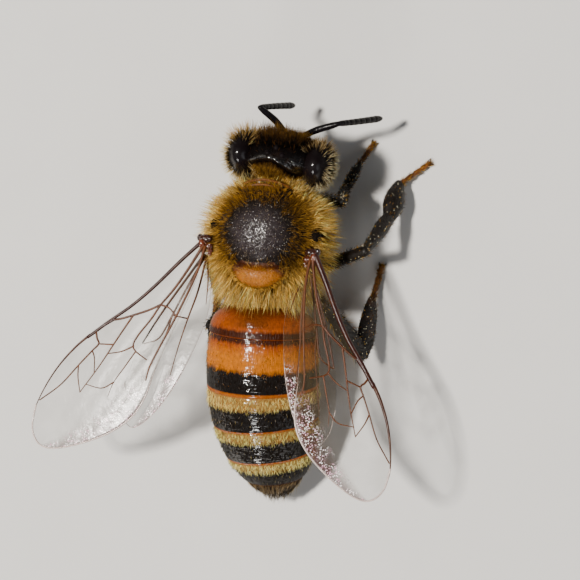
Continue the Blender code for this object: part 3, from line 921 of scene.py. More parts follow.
class BEE_OT_head(bpy.types.Operator):
    """Make the head's shell with its brow, face shield and three simple eyes, and the neck"""

    bl_idname = "bee.head"
    bl_label = "Head"

    def execute(self, context):
        middle, turn = head_frame()
        wide, deep, tall = HEAD_HALF

        def shape(places, normals):
            own = (places - middle) @ turn
            x, y, z = (own / np.array(HEAD_HALF)).T
            narrow = 1 - 0.42 * np.clip(-z, 0, 1) ** 1.4 - 0.10 * np.clip(z, 0, 1) ** 2
            depth = np.where(y < 0, 1.0, 0.70) * (1 - 0.25 * np.clip(-z, 0, 1))
            goal = np.stack((x * wide * narrow, y * deep * depth, z * tall), axis=1)
            gx, gy, gz = goal.T
            front = ramp(-gy, 0.1, 0.6)
            shield = front * ramp(1 - np.hypot(gx / 0.72, (gz + 0.78) / 0.62), 0.0, 0.35) * 0.10
            sockets = sum(bell(np.hypot(gx - s * 0.27, gz - 0.12), 0, 0.17) for s in (1, -1))
            sockets *= front * -0.09
            ridge = front * bell(gx, 0, 0.10) * ramp(gz, -0.1, 0.2) * (1 - ramp(gz, 0.6, 0.9)) * 0.05
            rear = nape_line(gx)
            crest = bell(gy, rear, 0.09) * ramp(gz, 0.7, 1.1) * 0.14
            crest += 0.15 * bell(np.hypot(gx - KNOB[0], gy - KNOB[1]), 0, 0.15) * ramp(gz, 0.7, 1.1)
            goal[:, 1] -= shield + sockets + ridge
            goal[:, 2] += crest - 0.32 * ramp(gy, rear + 0.03, rear + 0.34) * ramp(gz, 0.7, 1.1)
            return goal @ turn.T + middle - places

        def polished(places):
            x, y, z = ((places - middle) @ turn).T
            knob = bell(np.hypot(x - KNOB[0], y - KNOB[1]), 0, 0.24)
            return np.maximum(bell(y, nape_line(x) - 0.02, 0.10), knob) * ramp(z, 0.8, 1.2)

        bm = marked(moulded(ball(middle, HEAD_HALF, 96, 70), shape), "gloss", polished)
        piece("head_shell", bm, "head_shell", "shell_black", "head")
        simple = [ball(on_head(x, y, z), (0.12, 0.12, 0.10), 20, 12) for x, y, z in
                  ((0.0, -0.36, 1.56), (0.27, -0.12, 1.62), (-0.27, -0.12, 1.62))]
        piece("simple_eyes", joined(*simple), "eye_gloss", "eye_black")
        neck = tube([(0.0, -1.2, 3.2), (-0.1, -1.7, 3.16), (-0.2, -2.3, 3.12)], (0.42, 0.40, 0.44), 24)
        piece("neck_tube", neck, "back_shell", "shell_black", "neck")
        return {"FINISHED"}


class BEE_OT_eyes(bpy.types.Operator):
    """Make the two large faceted eyes"""

    bl_idname = "bee.eyes"
    bl_label = "Eyes"

    def execute(self, context):
        _, turn = head_frame()
        for name, side in SIDES:
            lean = turn @ np.array(Matrix.Rotation(EYE_LEAN * side, 3, "Y"))
            place = middle_of(f"eye_{name}")

            def kidney(places, normals):
                own = (places - place) @ lean
                inward = np.clip(-own[:, 0] * side, 0, None) * bell(own[:, 2], 0.1, 0.5) * 0.35
                flat = np.zeros_like(own)
                flat[:, 0] = inward * side
                return flat @ lean.T

            def polished(places):
                x, y, z = ((places - place) @ lean / np.array(EYE_HALF)).T
                return ramp(y, -0.25, 0.25) * ramp(z, 0.15, 0.55) * (1 - ramp(x * side, 0.15, 0.45)) * 0.9

            bm = marked(moulded(ball(place, EYE_HALF, 64, 48, lean), kidney), "gloss", polished)
            piece(f"eye_{name}_gloss", bm, "eye_gloss", "eye_black", f"eye_{name}")
        return {"FINISHED"}


class BEE_OT_mouth(bpy.types.Operator):
    """Make the upper lip, the jaws and the folded tongue"""

    bl_idname = "bee.mouth"
    bl_label = "Mouth"

    def execute(self, context):
        lip = ball(on_head(0, -0.60, -1.42), (0.34, 0.09, 0.20), 32, 16, head_frame()[1], 0.4)
        piece("upper_lip", lip, "head_shell", "shell_black")
        for name, side in SIDES:
            path = ((0.58, -0.30, -1.20), (0.52, -0.46, -1.50), (0.32, -0.56, -1.78), (0.10, -0.55, -1.93))
            count = 14
            path = curve_through([on_head(side * x, y, z) for x, y, z in path], count)
            radii = np.interp(range(count), (0, 5, 13), (0.20, 0.15, 0.10))
            jaw = tube(path, radii, 16, 0.7, shade=np.linspace(0.2, 1.0, count))
            piece(f"jaw_{name}", jaw, "leg_shell", "leg_brown", f"mandible_{name}")
        path = ((0, -0.30, -1.50), (0, -0.18, -1.86), (0, 0.10, -1.98), (0, 0.52, -1.90))
        count = 20
        path = curve_through([on_head(*point) for point in path], count)
        tongue = [tube(path, np.linspace(0.13, 0.07, count), 14, shade=np.linspace(0.5, 1.0, count))]
        for side in (1, -1):
            aside = path + np.array((0.13 * side, 0.0, 0.02))
            radii = np.linspace(0.12, 0.06, count)
            tongue.append(tube(aside, radii, 12, 0.6, shade=np.linspace(0.4, 0.9, count)))
        piece("tongue", joined(*tongue), "leg_shell", "leg_brown", "proboscis")
        return {"FINISHED"}


class BEE_OT_feelers(bpy.types.Operator):
    """Make the feelers, each a long first segment with a bulb, and a lash of ten rings"""

    bl_idname = "bee.feelers"
    bl_label = "Feelers"

    RINGS = 10
    BASE_ROWS, LASH_ROWS = 16, 91

    def execute(self, context):
        radius = context.scene.bee_sizes.feeler_radius / MM
        for name, side in SIDES:
            inner, elbow = ends_of(f"antenna_{name}_scape", on_head(0, -0.86, 0.12))
            socket = inner + unit(inner - elbow) * 0.12
            begin, tip = ends_of(f"antenna_{name}_flagellum", elbow)
            bend = (elbow + begin) / 2 - unit(elbow - inner) * 0.12
            bow = np.array((-0.13 * side, 0, 0.05))
            rows = self.BASE_ROWS
            path = curve_through([socket, socket * 0.45 + bend * 0.55 + bow, bend], rows)
            sizes = radius * np.interp(range(rows), (0, 1, 3, 8, 13, 15), (1.25, 0.8, 0.95, 1.12, 1.0, 0.75))
            scape = tube(path, sizes, 16)
            bulb = ball(socket, (radius * 1.7,) * 3, 16, 10)
            piece(f"feeler_{name}_base", joined(scape, bulb), "feeler_shell", "shell_black",
                  f"antenna_{name}_scape")
            sag = (middle_of(f"antenna_{name}_flagellum") - (begin + tip) / 2) * 0.9
            sag[2] = max(sag[2], 0.12)
            path = curve_through([bend, bend * 0.8 + tip * 0.2 + sag * 0.7, (bend + tip) / 2 + sag,
                                  bend * 0.2 + tip * 0.8 + sag * 0.6, tip], self.LASH_ROWS)
            rings = np.abs(np.sin(np.linspace(0, self.RINGS * math.pi, self.LASH_ROWS))) ** 0.28
            sizes = radius * (0.84 + 0.16 * rings)
            sizes *= np.interp(range(self.LASH_ROWS), (0, 8, 80, 90), (0.8, 0.95, 1.12, 0.8))
            lash = tube(path, sizes, 16, shade=np.linspace(0.0, 0.5, self.LASH_ROWS))
            piece(f"feeler_{name}_lash", lash, "feeler_shell", "shell_black",
                  f"antenna_{name}_flagellum")
        return {"FINISHED"}


# ---------------------------------------------------------------- thorax


def disc_distance(places):
    """Nought in the middle of the back's bald round, and one on its edge."""
    x, y = places[:, 0] - DISC_CENTRE[0], places[:, 1] - DISC_CENTRE[1]
    return np.hypot(x / DISC_HALF[0], y / DISC_HALF[1])


class BEE_OT_thorax(bpy.types.Operator):
    """Make the thorax: the pitted round of the back, the amber shield, the collar and the waist"""

    bl_idname = "bee.thorax"
    bl_label = "Thorax"

    def execute(self, context):
        shape = curve_through(THORAX_SHAPE, 90)
        centres = [(0, back, up) for back, _, _, up in shape]
        across = [(wide, 0, 0) for _, wide, _, _ in shape]
        rise = [(0, 0, tall) for _, _, tall, _ in shape]

        def relief(places, normals):
            x, y, z = places.T
            top = ramp(z, BACK_LOW, 4.4)
            rim = disc_distance(places)
            move = -0.07 * bell(rim, 1.05, 0.06) * top * ramp(y, 0.3, 0.9)
            move -= 0.018 * bell(x, 0, 0.035) * top * (1 - ramp(y, 0.2, 0.7))
            move -= 0.012 * bell(np.abs(x), 0.66, 0.03) * top * bell(y, 0.1, 0.5)
            move += 0.09 * bell(y, -1.36, 0.08) * ramp(z, 3.0, 3.8)
            move -= 0.10 * bell(np.hypot(np.abs(x) - 1.85, y - 0.6), 0, 0.35) * bell(z, 4.2, 0.5)
            move += 0.05 * ramp(1 - rim, 0.0, 0.6) * top
            return normals * move[:, None]

        bm = moulded(swept(centres, across, rise, 128, power=0.94), relief)
        # Painted highlight: the bald round is light violet-grey in its middle, and painted shade takes it to
        # black towards its edge
        marked(bm, "shade", lambda places: 1.1 - 1.0 * ramp(disc_distance(places), 0.5, 1.0))
        marked(bm, "gloss", lambda places: 1.0 - 0.9 * ramp(disc_distance(places), 0.55, 1.0))
        piece("thorax_shell", bm, "back_shell", "shell_black", "thorax")
        self.make_shield()
        rims = []
        for back, lift, radius in ((-1.82, 0.12, 0.052), (-1.64, 0.28, 0.048)):
            arc = [(x * 1.15 + 0.12, back + 0.36 * x * x, 4.26 + lift - 0.62 * x * x)
                   for x in (-1, -0.75, -0.4, 0, 0.4, 0.75, 1)]
            rims.append(tube(curve_through(arc, 40), [radius] * 40, 12, shade=[0.50] * 40))
        piece("collar_rims", joined(*rims), "leg_shell", "shell_black")
        waist = tube([(0, 1.95, 3.12), (0, 2.45, 3.08), (0, 2.95, 3.12)], (0.55, 0.34, 0.55), 24)
        piece("waist", waist, "back_shell", "shell_black", "petiole")
        return {"FINISHED"}

    def make_shield(self):
        """The amber shield, a crescent that bulges behind the round of the back."""
        low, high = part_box("scutellum")
        place = middle_of("scutellum")
        half = np.array((high - low) / 2) / MM

        def crescent(places, normals):
            own = (places - place) / half
            move = np.zeros_like(own)
            move[:, 1] = -0.16 * own[:, 0] ** 2 - 0.06
            move[:, 2] = -0.10 * own[:, 0] ** 2 - 0.10 * bell(own[:, 1], -0.5, 0.25)
            return move

        def painted_light(places):
            """Painted light: light in the middle as a painted highlight, and darker at the ends, in front
            and behind as painted shade round the shield's curve.
            """
            x, y, _ = ((places - place) / half[0]).T
            ends, fore, aft = (np.maximum(reach, 0) for reach in (np.abs(x) - 0.45, 0.05 - y, y - 0.24))
            return 1.1 - 1.2 * ends - 2.4 * fore - 1.8 * aft

        bm = moulded(ball(place, (half[0] * 1.07, half[1], half[2] * 0.92), 72, 40), crescent)
        piece("scutellum_shield", marked(bm, "shade", painted_light), "amber_shell", "shell_amber", "scutellum")


# ---------------------------------------------------------------- abdomen


def abdomen_row(back, inset):
    """Centre, half width and half height vectors of the abdomen at a distance back."""
    table = np.array(ABDOMEN_SHAPE)
    drops = np.concatenate(([0], np.diff(table[:, 0]) * np.tan(np.radians(table[1:, 1]))))
    heights = ABDOMEN_UP - np.cumsum(drops)
    smooth = curve_through(np.column_stack((table, heights)), 200)
    droop, wide, tall, lean, up = (np.interp(back, smooth[:, 0], smooth[:, i]) for i in range(1, 6))
    yaw = math.atan(np.interp(back, smooth[:, 0], np.gradient(smooth[:, 4], smooth[:, 0]))) * 0.9
    tilt = math.radians(droop) * 0.8 + RIM_TILT
    across = np.array((math.cos(yaw), math.sin(yaw), 0)) * (wide - inset)
    rise = np.array((0, math.sin(tilt), math.cos(tilt))) * (tall - inset)
    return np.array((-lean, back, up)), across, rise


class BEE_OT_abdomen(bpy.types.Operator):
    """Make the six rings of the abdomen, each with its rim over the next, and their coloured bands"""

    bl_idname = "bee.abdomen"
    bl_label = "Abdomen"

    def execute(self, context):
        orange = np.array(context.scene.bee_colours.orange)
        paint = {
            "orange": orange,
            "amber": orange * (0.66, 0.45, 1.0),
            # painted shadow of the thorax's hair on ring 1, and the dark amber of its rim
            "painted_shadow_and_rim": orange * (0.40, 0.26, 1.0),
            "brown": orange * (0.09, 0.07, 1.0),
            "rim": orange * (0.72, 0.62, 1.0),
            "tan": orange * (0.60, 1.05, 11.0),
            "black": BLACK_BAND,
        }
        count = 44
        for ring in range(1, 7):
            start, end = RING_ENDS[ring - 1] - (0.0 if ring == 1 else RING_OVERLAP), RING_ENDS[ring]
            marks = np.linspace(0, 1, count)
            backs = start + (end - start) * marks
            tuck = np.where(marks < 0.25, 0.10 * (1 - marks / 0.25), 0) * (ring > 1)
            swell = 0.05 * np.sin(marks * math.pi * 0.5) ** 2 * (ring < 6)
            lip = np.where(marks > 0.975, marks - 0.975, 0) * (ring < 6)
            rows = [abdomen_row(back, inset) for back, inset in zip(backs, 0.05 + tuck - swell + lip)]
            centres, across, rise = zip(*rows)
            seen = (backs - RING_ENDS[ring - 1]) / (end - RING_ENDS[ring - 1])
            bm = swept(centres, across, rise, 96, along=np.clip(seen, 0, 1))
            # Painted shadow: a darker patch on the first ring's front middle, under the thorax's hair
            if ring == 1:
                layer = bm.verts.layers.float["along"]
                fore = 1 - ramp(np.array([v[layer] for v in bm.verts]), 0.56, 0.72)
                marked(bm, "shade", lambda places: 0.8 * fore * bell(places[:, 0], 0.1, 0.8))
            stops = [(mark, tuple(paint[name])) for mark, name in RING_MARKS[ring]]
            finish = banded(f"band_shell_{ring}", stops, GLEAM[ring]).name
            piece(f"abdomen_shell_{ring}", bm, finish, "band_orange" if ring < 3 else "band_brown",
                  f"abdomen_ring_{ring}")
        return {"FINISHED"}


# ---------------------------------------------------------------- wings


def wing_place(name, side, hind):
    """The matrix, in mm from ORIGIN, that puts a wing's own plane in its place."""
    hinge, sweep, lift, twist, turn_back, size = WING_PLACES[name]
    place = Matrix.Translation(hinge) @ Matrix.Rotation(math.pi / 2 - side * math.radians(sweep), 4, "Z")
    place = place @ Matrix.Rotation(-math.radians(lift), 4, "Y")
    place = place @ Matrix.Rotation(side * math.radians(twist), 4, "X")
    place = place @ Matrix.Translation((0, 0, SKIN_LIFT))
    level = SLAB / 2
    if hind:
        x, y = HINDWING_HINGE
        place = place @ Matrix.Translation((x, -side * y, -level))
        return place @ Matrix.Rotation(-side * math.radians(turn_back), 4, "Z") @ Matrix.Scale(size, 4)
    return place @ Matrix.Translation((0, 0, level)) @ Matrix.Scale(size, 4)


def scale_place(name, side):
    """The middle of the scale over a wing's root, set into the coat, and deeper on the left."""
    inward, down = (0.22, 0.25) if name == "left" else (0.06, 0.10)
    return middle_of(f"tegula_{name}") - np.array((side * inward, 0.0, down))


def wing_height(x, y, length, camber):
    """How far the wing's skin stands off its plane: an arch, and shallow pleats along the veins."""
    arch = camber * np.sin(np.clip(x / length, 0, 1) * math.pi * 0.9) * (1 - (y / 2.2) ** 2)
    pleats = 0.006 * np.sin(y * 11 + x * 0.8) * np.clip(1.2 - x / length, 0, 1)
    return arch + pleats - 0.12 * np.clip(x / length - 0.7, 0, 1) ** 2


class BEE_OT_wings(bpy.types.Operator):
    """Make the four clear wings with their raised veins, and the knuckles that they hinge on"""

    bl_idname = "bee.wings"
    bl_label = "Wings"

    THICK = (0.06, 0.04)  # a vein is thick from these radii at its root and at its end
    SLIM = {"left": 0.55, "right": 0.90}  # what is left of a thick vein's radius
    HEM = {"forewing": 0.032, "hindwing": 0.012}  # radius of the bead along the hind edge

    def execute(self, context):
        sizes = context.scene.bee_sizes
        camber = sizes.camber / MM
        for name, side in SIDES:
            slim = self.SLIM[name]
            for wing, front, back, veins, hind in (
                ("forewing", FOREWING_FRONT, FOREWING_BACK, FOREWING_VEINS, False),
                ("hindwing", HINDWING_FRONT, HINDWING_BACK, HINDWING_VEINS, True),
            ):
                place = np.array(wing_place(name, side, hind))
                length = front[-1][0]

                def set_in(flat):
                    """Places of points that are given on the wing's own plane."""
                    x, y = flat.T
                    flat = np.stack((x, -side * y, wing_height(x, y, length, camber), np.ones_like(x)))
                    return (place @ flat)[:3].T

                obj = piece(f"{wing}_{name}_skin", self.skin(front, back, length, set_in), "wing_skin",
                            "wing_smoke", f"{wing}_{name}")
                wall = obj.modifiers.new("thickness", "SOLIDIFY")
                wall.thickness = sizes.wing_thickness
                wall.offset = 0.0
                tubes = [self.vein(path, first * (slim if first > self.THICK[0] else 1),
                                   last * (slim if last > self.THICK[1] else 1), dark, set_in)
                         for path, first, last, dark in veins]
                piece(f"{wing}_{name}_veins", joined(*tubes), "vein_shell", "wing_smoke")
                bead = self.hem((*front[-4:], *back[-2:0:-1]), self.HEM[wing], length, set_in)
                piece(f"{wing}_{name}_hem", bead, "hem_and_painted_highlight", "wing_smoke")
            self.knuckles(name, side)
        return {"FINISHED"}

    def skin(self, front, back, length, set_in):
        """A sheet between the front and back edges, with "shade" near the outer rim."""
        columns, rows = 110, 36
        fore, aft = curve_through(front, columns + 1), curve_through(back, columns + 1)
        bm = bmesh.new()
        bm.loops.layers.uv.new("UVMap")
        shade = bm.verts.layers.float.new("shade")
        bmesh.ops.create_grid(bm, x_segments=columns, y_segments=rows, size=0.5, calc_uvs=True)
        grid = np.array([v.co for v in bm.verts]) + 0.5
        column = np.rint(grid[:, 0] * columns).astype(int)
        share = grid[:, 1][:, None]
        flat = fore[column] * (1 - share) + aft[column] * share
        places = set_in(flat)
        rim = ramp(share[:, 0], 0.62, 1.0) * ramp(flat[:, 0] / length, 0.48, 0.68)
        rim = np.maximum(rim, ramp(np.maximum(share[:, 0], 0.6) * flat[:, 0] / length, 0.80, 0.98))
        for v, where, near in zip(bm.verts, places, rim):
            v.co = spot(*where)
            v[shade] = near
        bmesh.ops.remove_doubles(bm, verts=bm.verts, dist=0.002 * MM)
        bm.normal_update()
        mesh = bpy.data.meshes.new("wing")
        bm.to_mesh(mesh)
        bm.free()
        return mesh

    def vein(self, path, first, last, dark, set_in):
        """One vein, with its radius at the root and at its end."""
        path = set_in(curve_through(path, max(8, len(path) * 5)))
        radii = np.linspace(first * 1.15, last, len(path))
        return tube(path, radii, 8, shade=[dark] * len(path))

    def hem(self, path, radius, length, set_in):
        """The bead along the hind edge, thick and pale round the tip and fine towards the root; its pale
        colour is a painted highlight along the edge.
        """
        flat = curve_through(path, 60)
        outer = ramp(flat[:, 0] / length, 0.42, 0.62)
        return tube(set_in(flat), 0.005 + (radius - 0.005) * outer, 8, shade=outer)

    def knuckles(self, name, side):
        """The scale over the wing's root, and the small plates that the wing turns on."""
        scale = ball(scale_place(name, side), (0.19, 0.23, 0.15), 32, 20, shade=-0.3)
        hinge = np.array(WING_PLACES[name][0]) + UP * 0.07
        plates = []
        for (x, y, z), half, tone in (
            ((-0.04, -0.20, 0.24), (0.25, 0.16, 0.13), 0.2),
            ((0.08, -0.02, 0.28), (0.13, 0.19, 0.09), 0.9),
            ((-0.16, 0.06, 0.20), (0.16, 0.14, 0.10), 0.5),
            ((0.02, 0.20, 0.20), (0.10, 0.17, 0.08), 0.8),
            ((-0.22, 0.24, 0.12), (0.09, 0.18, 0.08), 0.7),
            ((0.18, -0.22, 0.18), (0.12, 0.14, 0.10), 0.1),
        ):
            plates.append(ball(hinge + np.array((side * x, y, z)), half, 18, 12, shade=tone))
        piece(f"wing_scale_{name}", scale, "matt_shell", "shell_amber", f"tegula_{name}")
        piece(f"wing_root_{name}", joined(*plates), "hinge_shell", "shell_amber")


# ---------------------------------------------------------------- legs


def leg_joints(leg):
    """Hip, trochanter, knee, ankle, heel and toe in mm, from the leg's solids."""
    hip = near = middle_of(f"leg_{leg}_hip")
    spans = []
    for segment in ("femur", "tibia", "basitarsus", "tarsus"):
        spans.append(ends_of(f"leg_{leg}_{segment}", near))
        near = spans[-1][1]
    between = [(a[1] + b[0]) / 2 for a, b in zip(spans, spans[1:])]
    return [hip, spans[0][0], *between, np.array((*near[:2], TOE_HEIGHT))]


class BEE_OT_legs(bpy.types.Operator):
    """Make the six legs, with their flattened shins, jointed feet, pads and claws"""

    bl_idname = "bee.legs"
    bl_label = "Legs"

    def execute(self, context):
        for leg in LEG_NAMES:
            pair = leg.split("_")[0]
            (thigh, thin, shin, foot, toe), flat = LEG_RADII[pair], LEG_FLAT[pair]
            hip, start, knee, ankle, heel, tip = leg_joints(leg)
            top = hip + (hip - start) * 0.5
            self.part(leg, "hip", [top, hip, start], (0.26, 0.28, 0.18), 1.0, 0.0)
            mid = (start + knee) / 2 - UP * 0.04
            self.part(leg, "femur", [start, mid, knee], (0.14, thigh, thigh * 0.9, thin * 1.1), 0.85, -0.20)
            mid = (knee + ankle) / 2
            self.part(leg, "tibia", [knee, mid, ankle], (thin, shin * 0.80, shin, shin * 0.85), flat, -0.25)
            mid = (ankle + heel) / 2
            tone = -0.05 if pair == "hind" else -0.25
            self.part(leg, "basitarsus", [ankle, mid, heel], (foot * 0.66, foot, foot * 0.92, foot * 0.5),
                      flat, tone)
            self.foot(leg, heel, tip, toe)
        return {"FINISHED"}

    def part(self, leg, segment, path, radii, flat, shade):
        """One segment of a leg, a flattened tube that is a little paler at its end."""
        count = 26
        path = curve_through(path, count)
        radii = curve_through([[r] for r in radii], count)[:, 0]
        marks = np.linspace(shade, shade + 0.12, count)
        shape = tube(path, radii, 28, flat, BROAD, shade=marks)
        piece(f"leg_{leg}_{segment}_shell", shape, "leg_shell", "leg_brown", f"leg_{leg}_{segment}")

    def foot(self, leg, heel, tip, radius):
        """Four short joints, a pad and two claws."""
        count = 41
        run = curve_through([heel, heel * 0.5 + tip * 0.5 - UP * 0.03, tip], count)
        run[:, 2] = np.maximum(run[:, 2], radius * 1.15)
        joints = np.abs(np.sin(np.linspace(0.15, 4 * math.pi - 0.2, count))) ** 0.5
        parts = [tube(run, radius * (0.68 + 0.42 * joints), 14, shade=np.linspace(0.30, 0.70, count))]
        ahead = unit(run[-1] - run[-6])
        aside = unit(np.cross(ahead, UP))
        parts.append(ball(run[-1] + ahead * 0.09, (0.07, 0.07, 0.055), 14, 10, shade=0.8))
        for side in (1, -1):
            claw = [run[-1] + ahead * fore + aside * side * wide + UP * rise for fore, wide, rise in
                    ((0.0, 0.04, 0.0), (0.13, 0.10, 0.02), (0.22, 0.13, -0.07))]
            parts.append(tube(curve_through(claw, 10), np.linspace(0.030, 0.008, 10), 8, shade=[0.1] * 10))
        piece(f"leg_{leg}_foot", joined(*parts), "leg_shell", "leg_brown", f"leg_{leg}_tarsus")


# ---------------------------------------------------------------- coat of each region


class BEE_OT_thorax_coat(bpy.types.Operator):
    """Grow the thorax's coat: velvet round the bald round, long pale hair at the sides and rear"""

    bl_idname = "bee.thorax_coat"
    bl_label = "Thorax coat"

    PARTS = 3  # pieces that the coat is split into, as it is too heavy for one

    def execute(self, context):
        gold, cream = gold_and_cream()
        skin = bpy.data.objects["thorax_shell"]
        total = context.scene.bee_coat.thorax_hairs
        for number in range(self.PARTS):
            rng = np.random.default_rng(11 + number)
            places, normals, _, _ = roots = roots_on(skin, int(total * 1.15 / self.PARTS), rng, self.keep)
            count = len(places)
            x, y, z = places.T
            out = unit(np.column_stack((x, y + 0.08, np.zeros(count))))
            top = ramp(z, BACK_LOW, 4.7)
            rear = ramp(y, 1.0, 1.7)
            low = 1 - ramp(z, 2.4, 3.8)
            rim = disc_distance(places)
            lie = normals + out * (0.30 + 0.30 * top)[:, None] + np.array((0, 0.45, 0.1)) * rear[:, None]
            lie += scattered(rng, count, 0.20)
            length = 0.42 + 0.26 * rear + 0.20 * (1 - top) - 0.06 * low
            length *= np.where(top > 0.6, 0.40 + 0.6 * ramp(rim, 1.0, 1.6), 1.0)
            length *= rng.uniform(0.45, 1.3, count) * (1 - 0.42 * ramp(-y, 0.8, 1.3))
            bend = out * 0.12 + np.array((0, 0.10, -0.12)) + scattered(rng, count, 0.08)
            share = 0.10 + 0.75 * (1 - top) + 0.70 * rear
            share += 0.25 * ramp(rim, 1.1, 1.8) - 0.25 * ramp(-y, 0.6, 1.2)
            share = np.clip(share + 0.16 * rng.normal(size=count), 0, 1)
            # Painted shade: the hair's tips are darkened in a ring round the bald round, most on the right,
            # away from the key lamp
            right = ramp(-x, 0.2, 0.9)
            ring = 1 - ramp(rim, 1.05 + 0.1 * right, 1.40 + 0.35 * right)
            painted_shade = top * (0.18 + 0.34 * right) * ring
            tip = mixed(gold, cream, share) * (1 - painted_shade)[:, None]
            # The lower sides and rear are paler hair, and half their hairs are mixed towards the sunlit gold
            # as a painted glow of sunlit hair
            pale = np.maximum(ramp(1 - top, 0.3, 0.9), 0.6 * rear)
            pale *= np.where(rng.random(count) < 0.5, 0.75, 0.0)
            tip = mixed(tip, HAIR_TINTS["sunlit"], pale)
            bright = np.where(rng.random(count) < 0.28, 1.7, 0.80)[:, None]
            tints = (tip * (0.20, 0.15, 0.12), tip * bright)
            grow(f"coat_thorax_{number + 1}", roots, lie, length, tints, bend=bend, cuts=(0.35, 0.7),
                 width=0.8, tuft=7, stray=0.24, uneven=0.24, seed=21 + number)
        self.wisps(skin)
        self.stubble(skin)
        self.shield_fuzz(cream)
        return {"FINISHED"}

    def keep(self, places, normals, marks):
        """How densely hair grows: thin on the back's round, the shield, the collar and the wings' roots."""
        x, y, z = places.T
        rim = disc_distance(places) + 0.06 * np.sin(13 * x - 9 * y)
        rim += 0.07 * np.sin(7 * x + 2) * np.sin(6 * y + 1)
        bald = (z > BACK_LOW) * (1 - 0.75 * ramp(rim, 0.86, 1.04) - 0.25 * ramp(rim, 1.04, 1.3))
        off = np.hypot((x - SHIELD_CENTRE[0]) / SHIELD_HALF[0], (y - SHIELD_CENTRE[1]) / SHIELD_HALF[1])
        shield = (z > 4.1) * (1 - ramp(off, 0.86, 1.02)) * ramp(normals[:, 2], 0.42, 0.66)
        between = (z > 4.1) * (np.abs(x - 0.05) < 0.80) * (y > 0.9) * (y < 1.5) * 0.8
        arcs = bell(y, -1.72 + 0.30 * (x - 0.12) ** 2, 0.12) * (np.abs(x) < 0.9)
        for (across, back, _), *_ in WING_PLACES.values():
            arcs = np.maximum(arcs, (z > 3.0) * bell(np.hypot(x - across, y - back), 0, 0.30))
        scale = scale_place("right", -1)
        arcs = np.maximum(arcs, (z > 3.0) * bell(np.hypot(x - scale[0], y - scale[1]), 0, 0.26))
        patchy = np.sin(5 * x + 1.3 * y) + np.sin(6.5 * y - 2 * x + 1) + np.sin(9 * x + 7 * z)
        return np.clip(1 - bald - shield - between - arcs, 0, 1) * (1 - 0.5 * ramp(patchy, 0.6, 1.6))

    def wisps(self, skin):
        """Single long pale hairs that stand out of the coat at its sides."""
        rng = np.random.default_rng(17)

        def keep(places, normals, marks):
            z = places[:, 2]
            return self.keep(places, normals, marks) * (1 - ramp(z, 3.5, 4.2)) * (z > 2.4)

        places, normals, _, _ = roots = roots_on(skin, WISPS, rng, keep)
        count = len(places)
        lie = normals + scattered(rng, count, 0.25) + np.array((0, 0.25, 0.15))
        tip = mixed((0.90, 0.56, 0.15), (1.0, 0.86, 0.50), rng.random(count))
        bend = normals * -0.10 + scattered(rng, count, 0.05)
        grow("coat_wisps", roots, lie, rng.uniform(0.55, 0.95, count), (tip * 0.3, tip), bend=bend,
             width=0.5, tuft=1, pull=0.0, seed=18)

    def shield_fuzz(self, cream):
        """Fine golden hair round the rim of the amber shield."""
        rng = np.random.default_rng(8)
        skin = bpy.data.objects["scutellum_shield"]
        middle = middle_of("scutellum")

        def keep(places, normals, marks):
            return (normals[:, 2] > -0.1) * (0.06 + ramp(-normals[:, 2], -0.75, -0.35))

        places, normals, _, _ = roots = roots_on(skin, SHIELD_HAIRS, rng, keep)
        count = len(places)
        out = unit((places - middle) * (1, 1, 0))
        lie = normals * 0.6 + out + scattered(rng, count, 0.25)
        tip = mixed((0.55, 0.24, 0.03), cream, rng.random(count))
        grow("coat_shield", roots, lie, rng.uniform(0.08, 0.24, count), (tip * 0.3, tip), width=0.55, tuft=3,
             pull=0.1, seed=9)

    def stubble(self, skin):
        """Very short dark and pale hairs that speckle the bald round, pale most of all in its middle, where
        near-white tips are painted glints.
        """
        rng = np.random.default_rng(5)

        def keep(places, normals, marks):
            return (places[:, 2] > BACK_LOW) * (disc_distance(places) < 1.08) * 0.5

        places, normals, _, _ = roots = roots_on(skin, STUBBLE, rng, keep)
        count = len(places)
        lie = normals + scattered(rng, count, 0.5) + np.array((0, 0.4, 0))
        kind = rng.random(count)
        # Painted glints: near-white tips gather round the middle of the round, where the highlight falls
        painted_light = bell(np.hypot(places[:, 0] + 0.05, places[:, 1] - 0.10), 0, 0.65)
        bright = kind < 0.05 + 0.30 * painted_light
        tip = np.where((kind < 0.36)[:, None], (0.42, 0.32, 0.20), (0.05, 0.035, 0.03))
        tip = np.where(bright[:, None], (1.0, 0.96, 0.92), tip)
        size = rng.uniform(0.04, 0.11, count) * np.where(bright, 0.5, 1.0)
        grow("coat_thorax_stubble", roots, lie, size, (tip * 0.4, tip), width=np.where(bright, 0.9, 0.62),
             tuft=3, pull=0.1, seed=6)


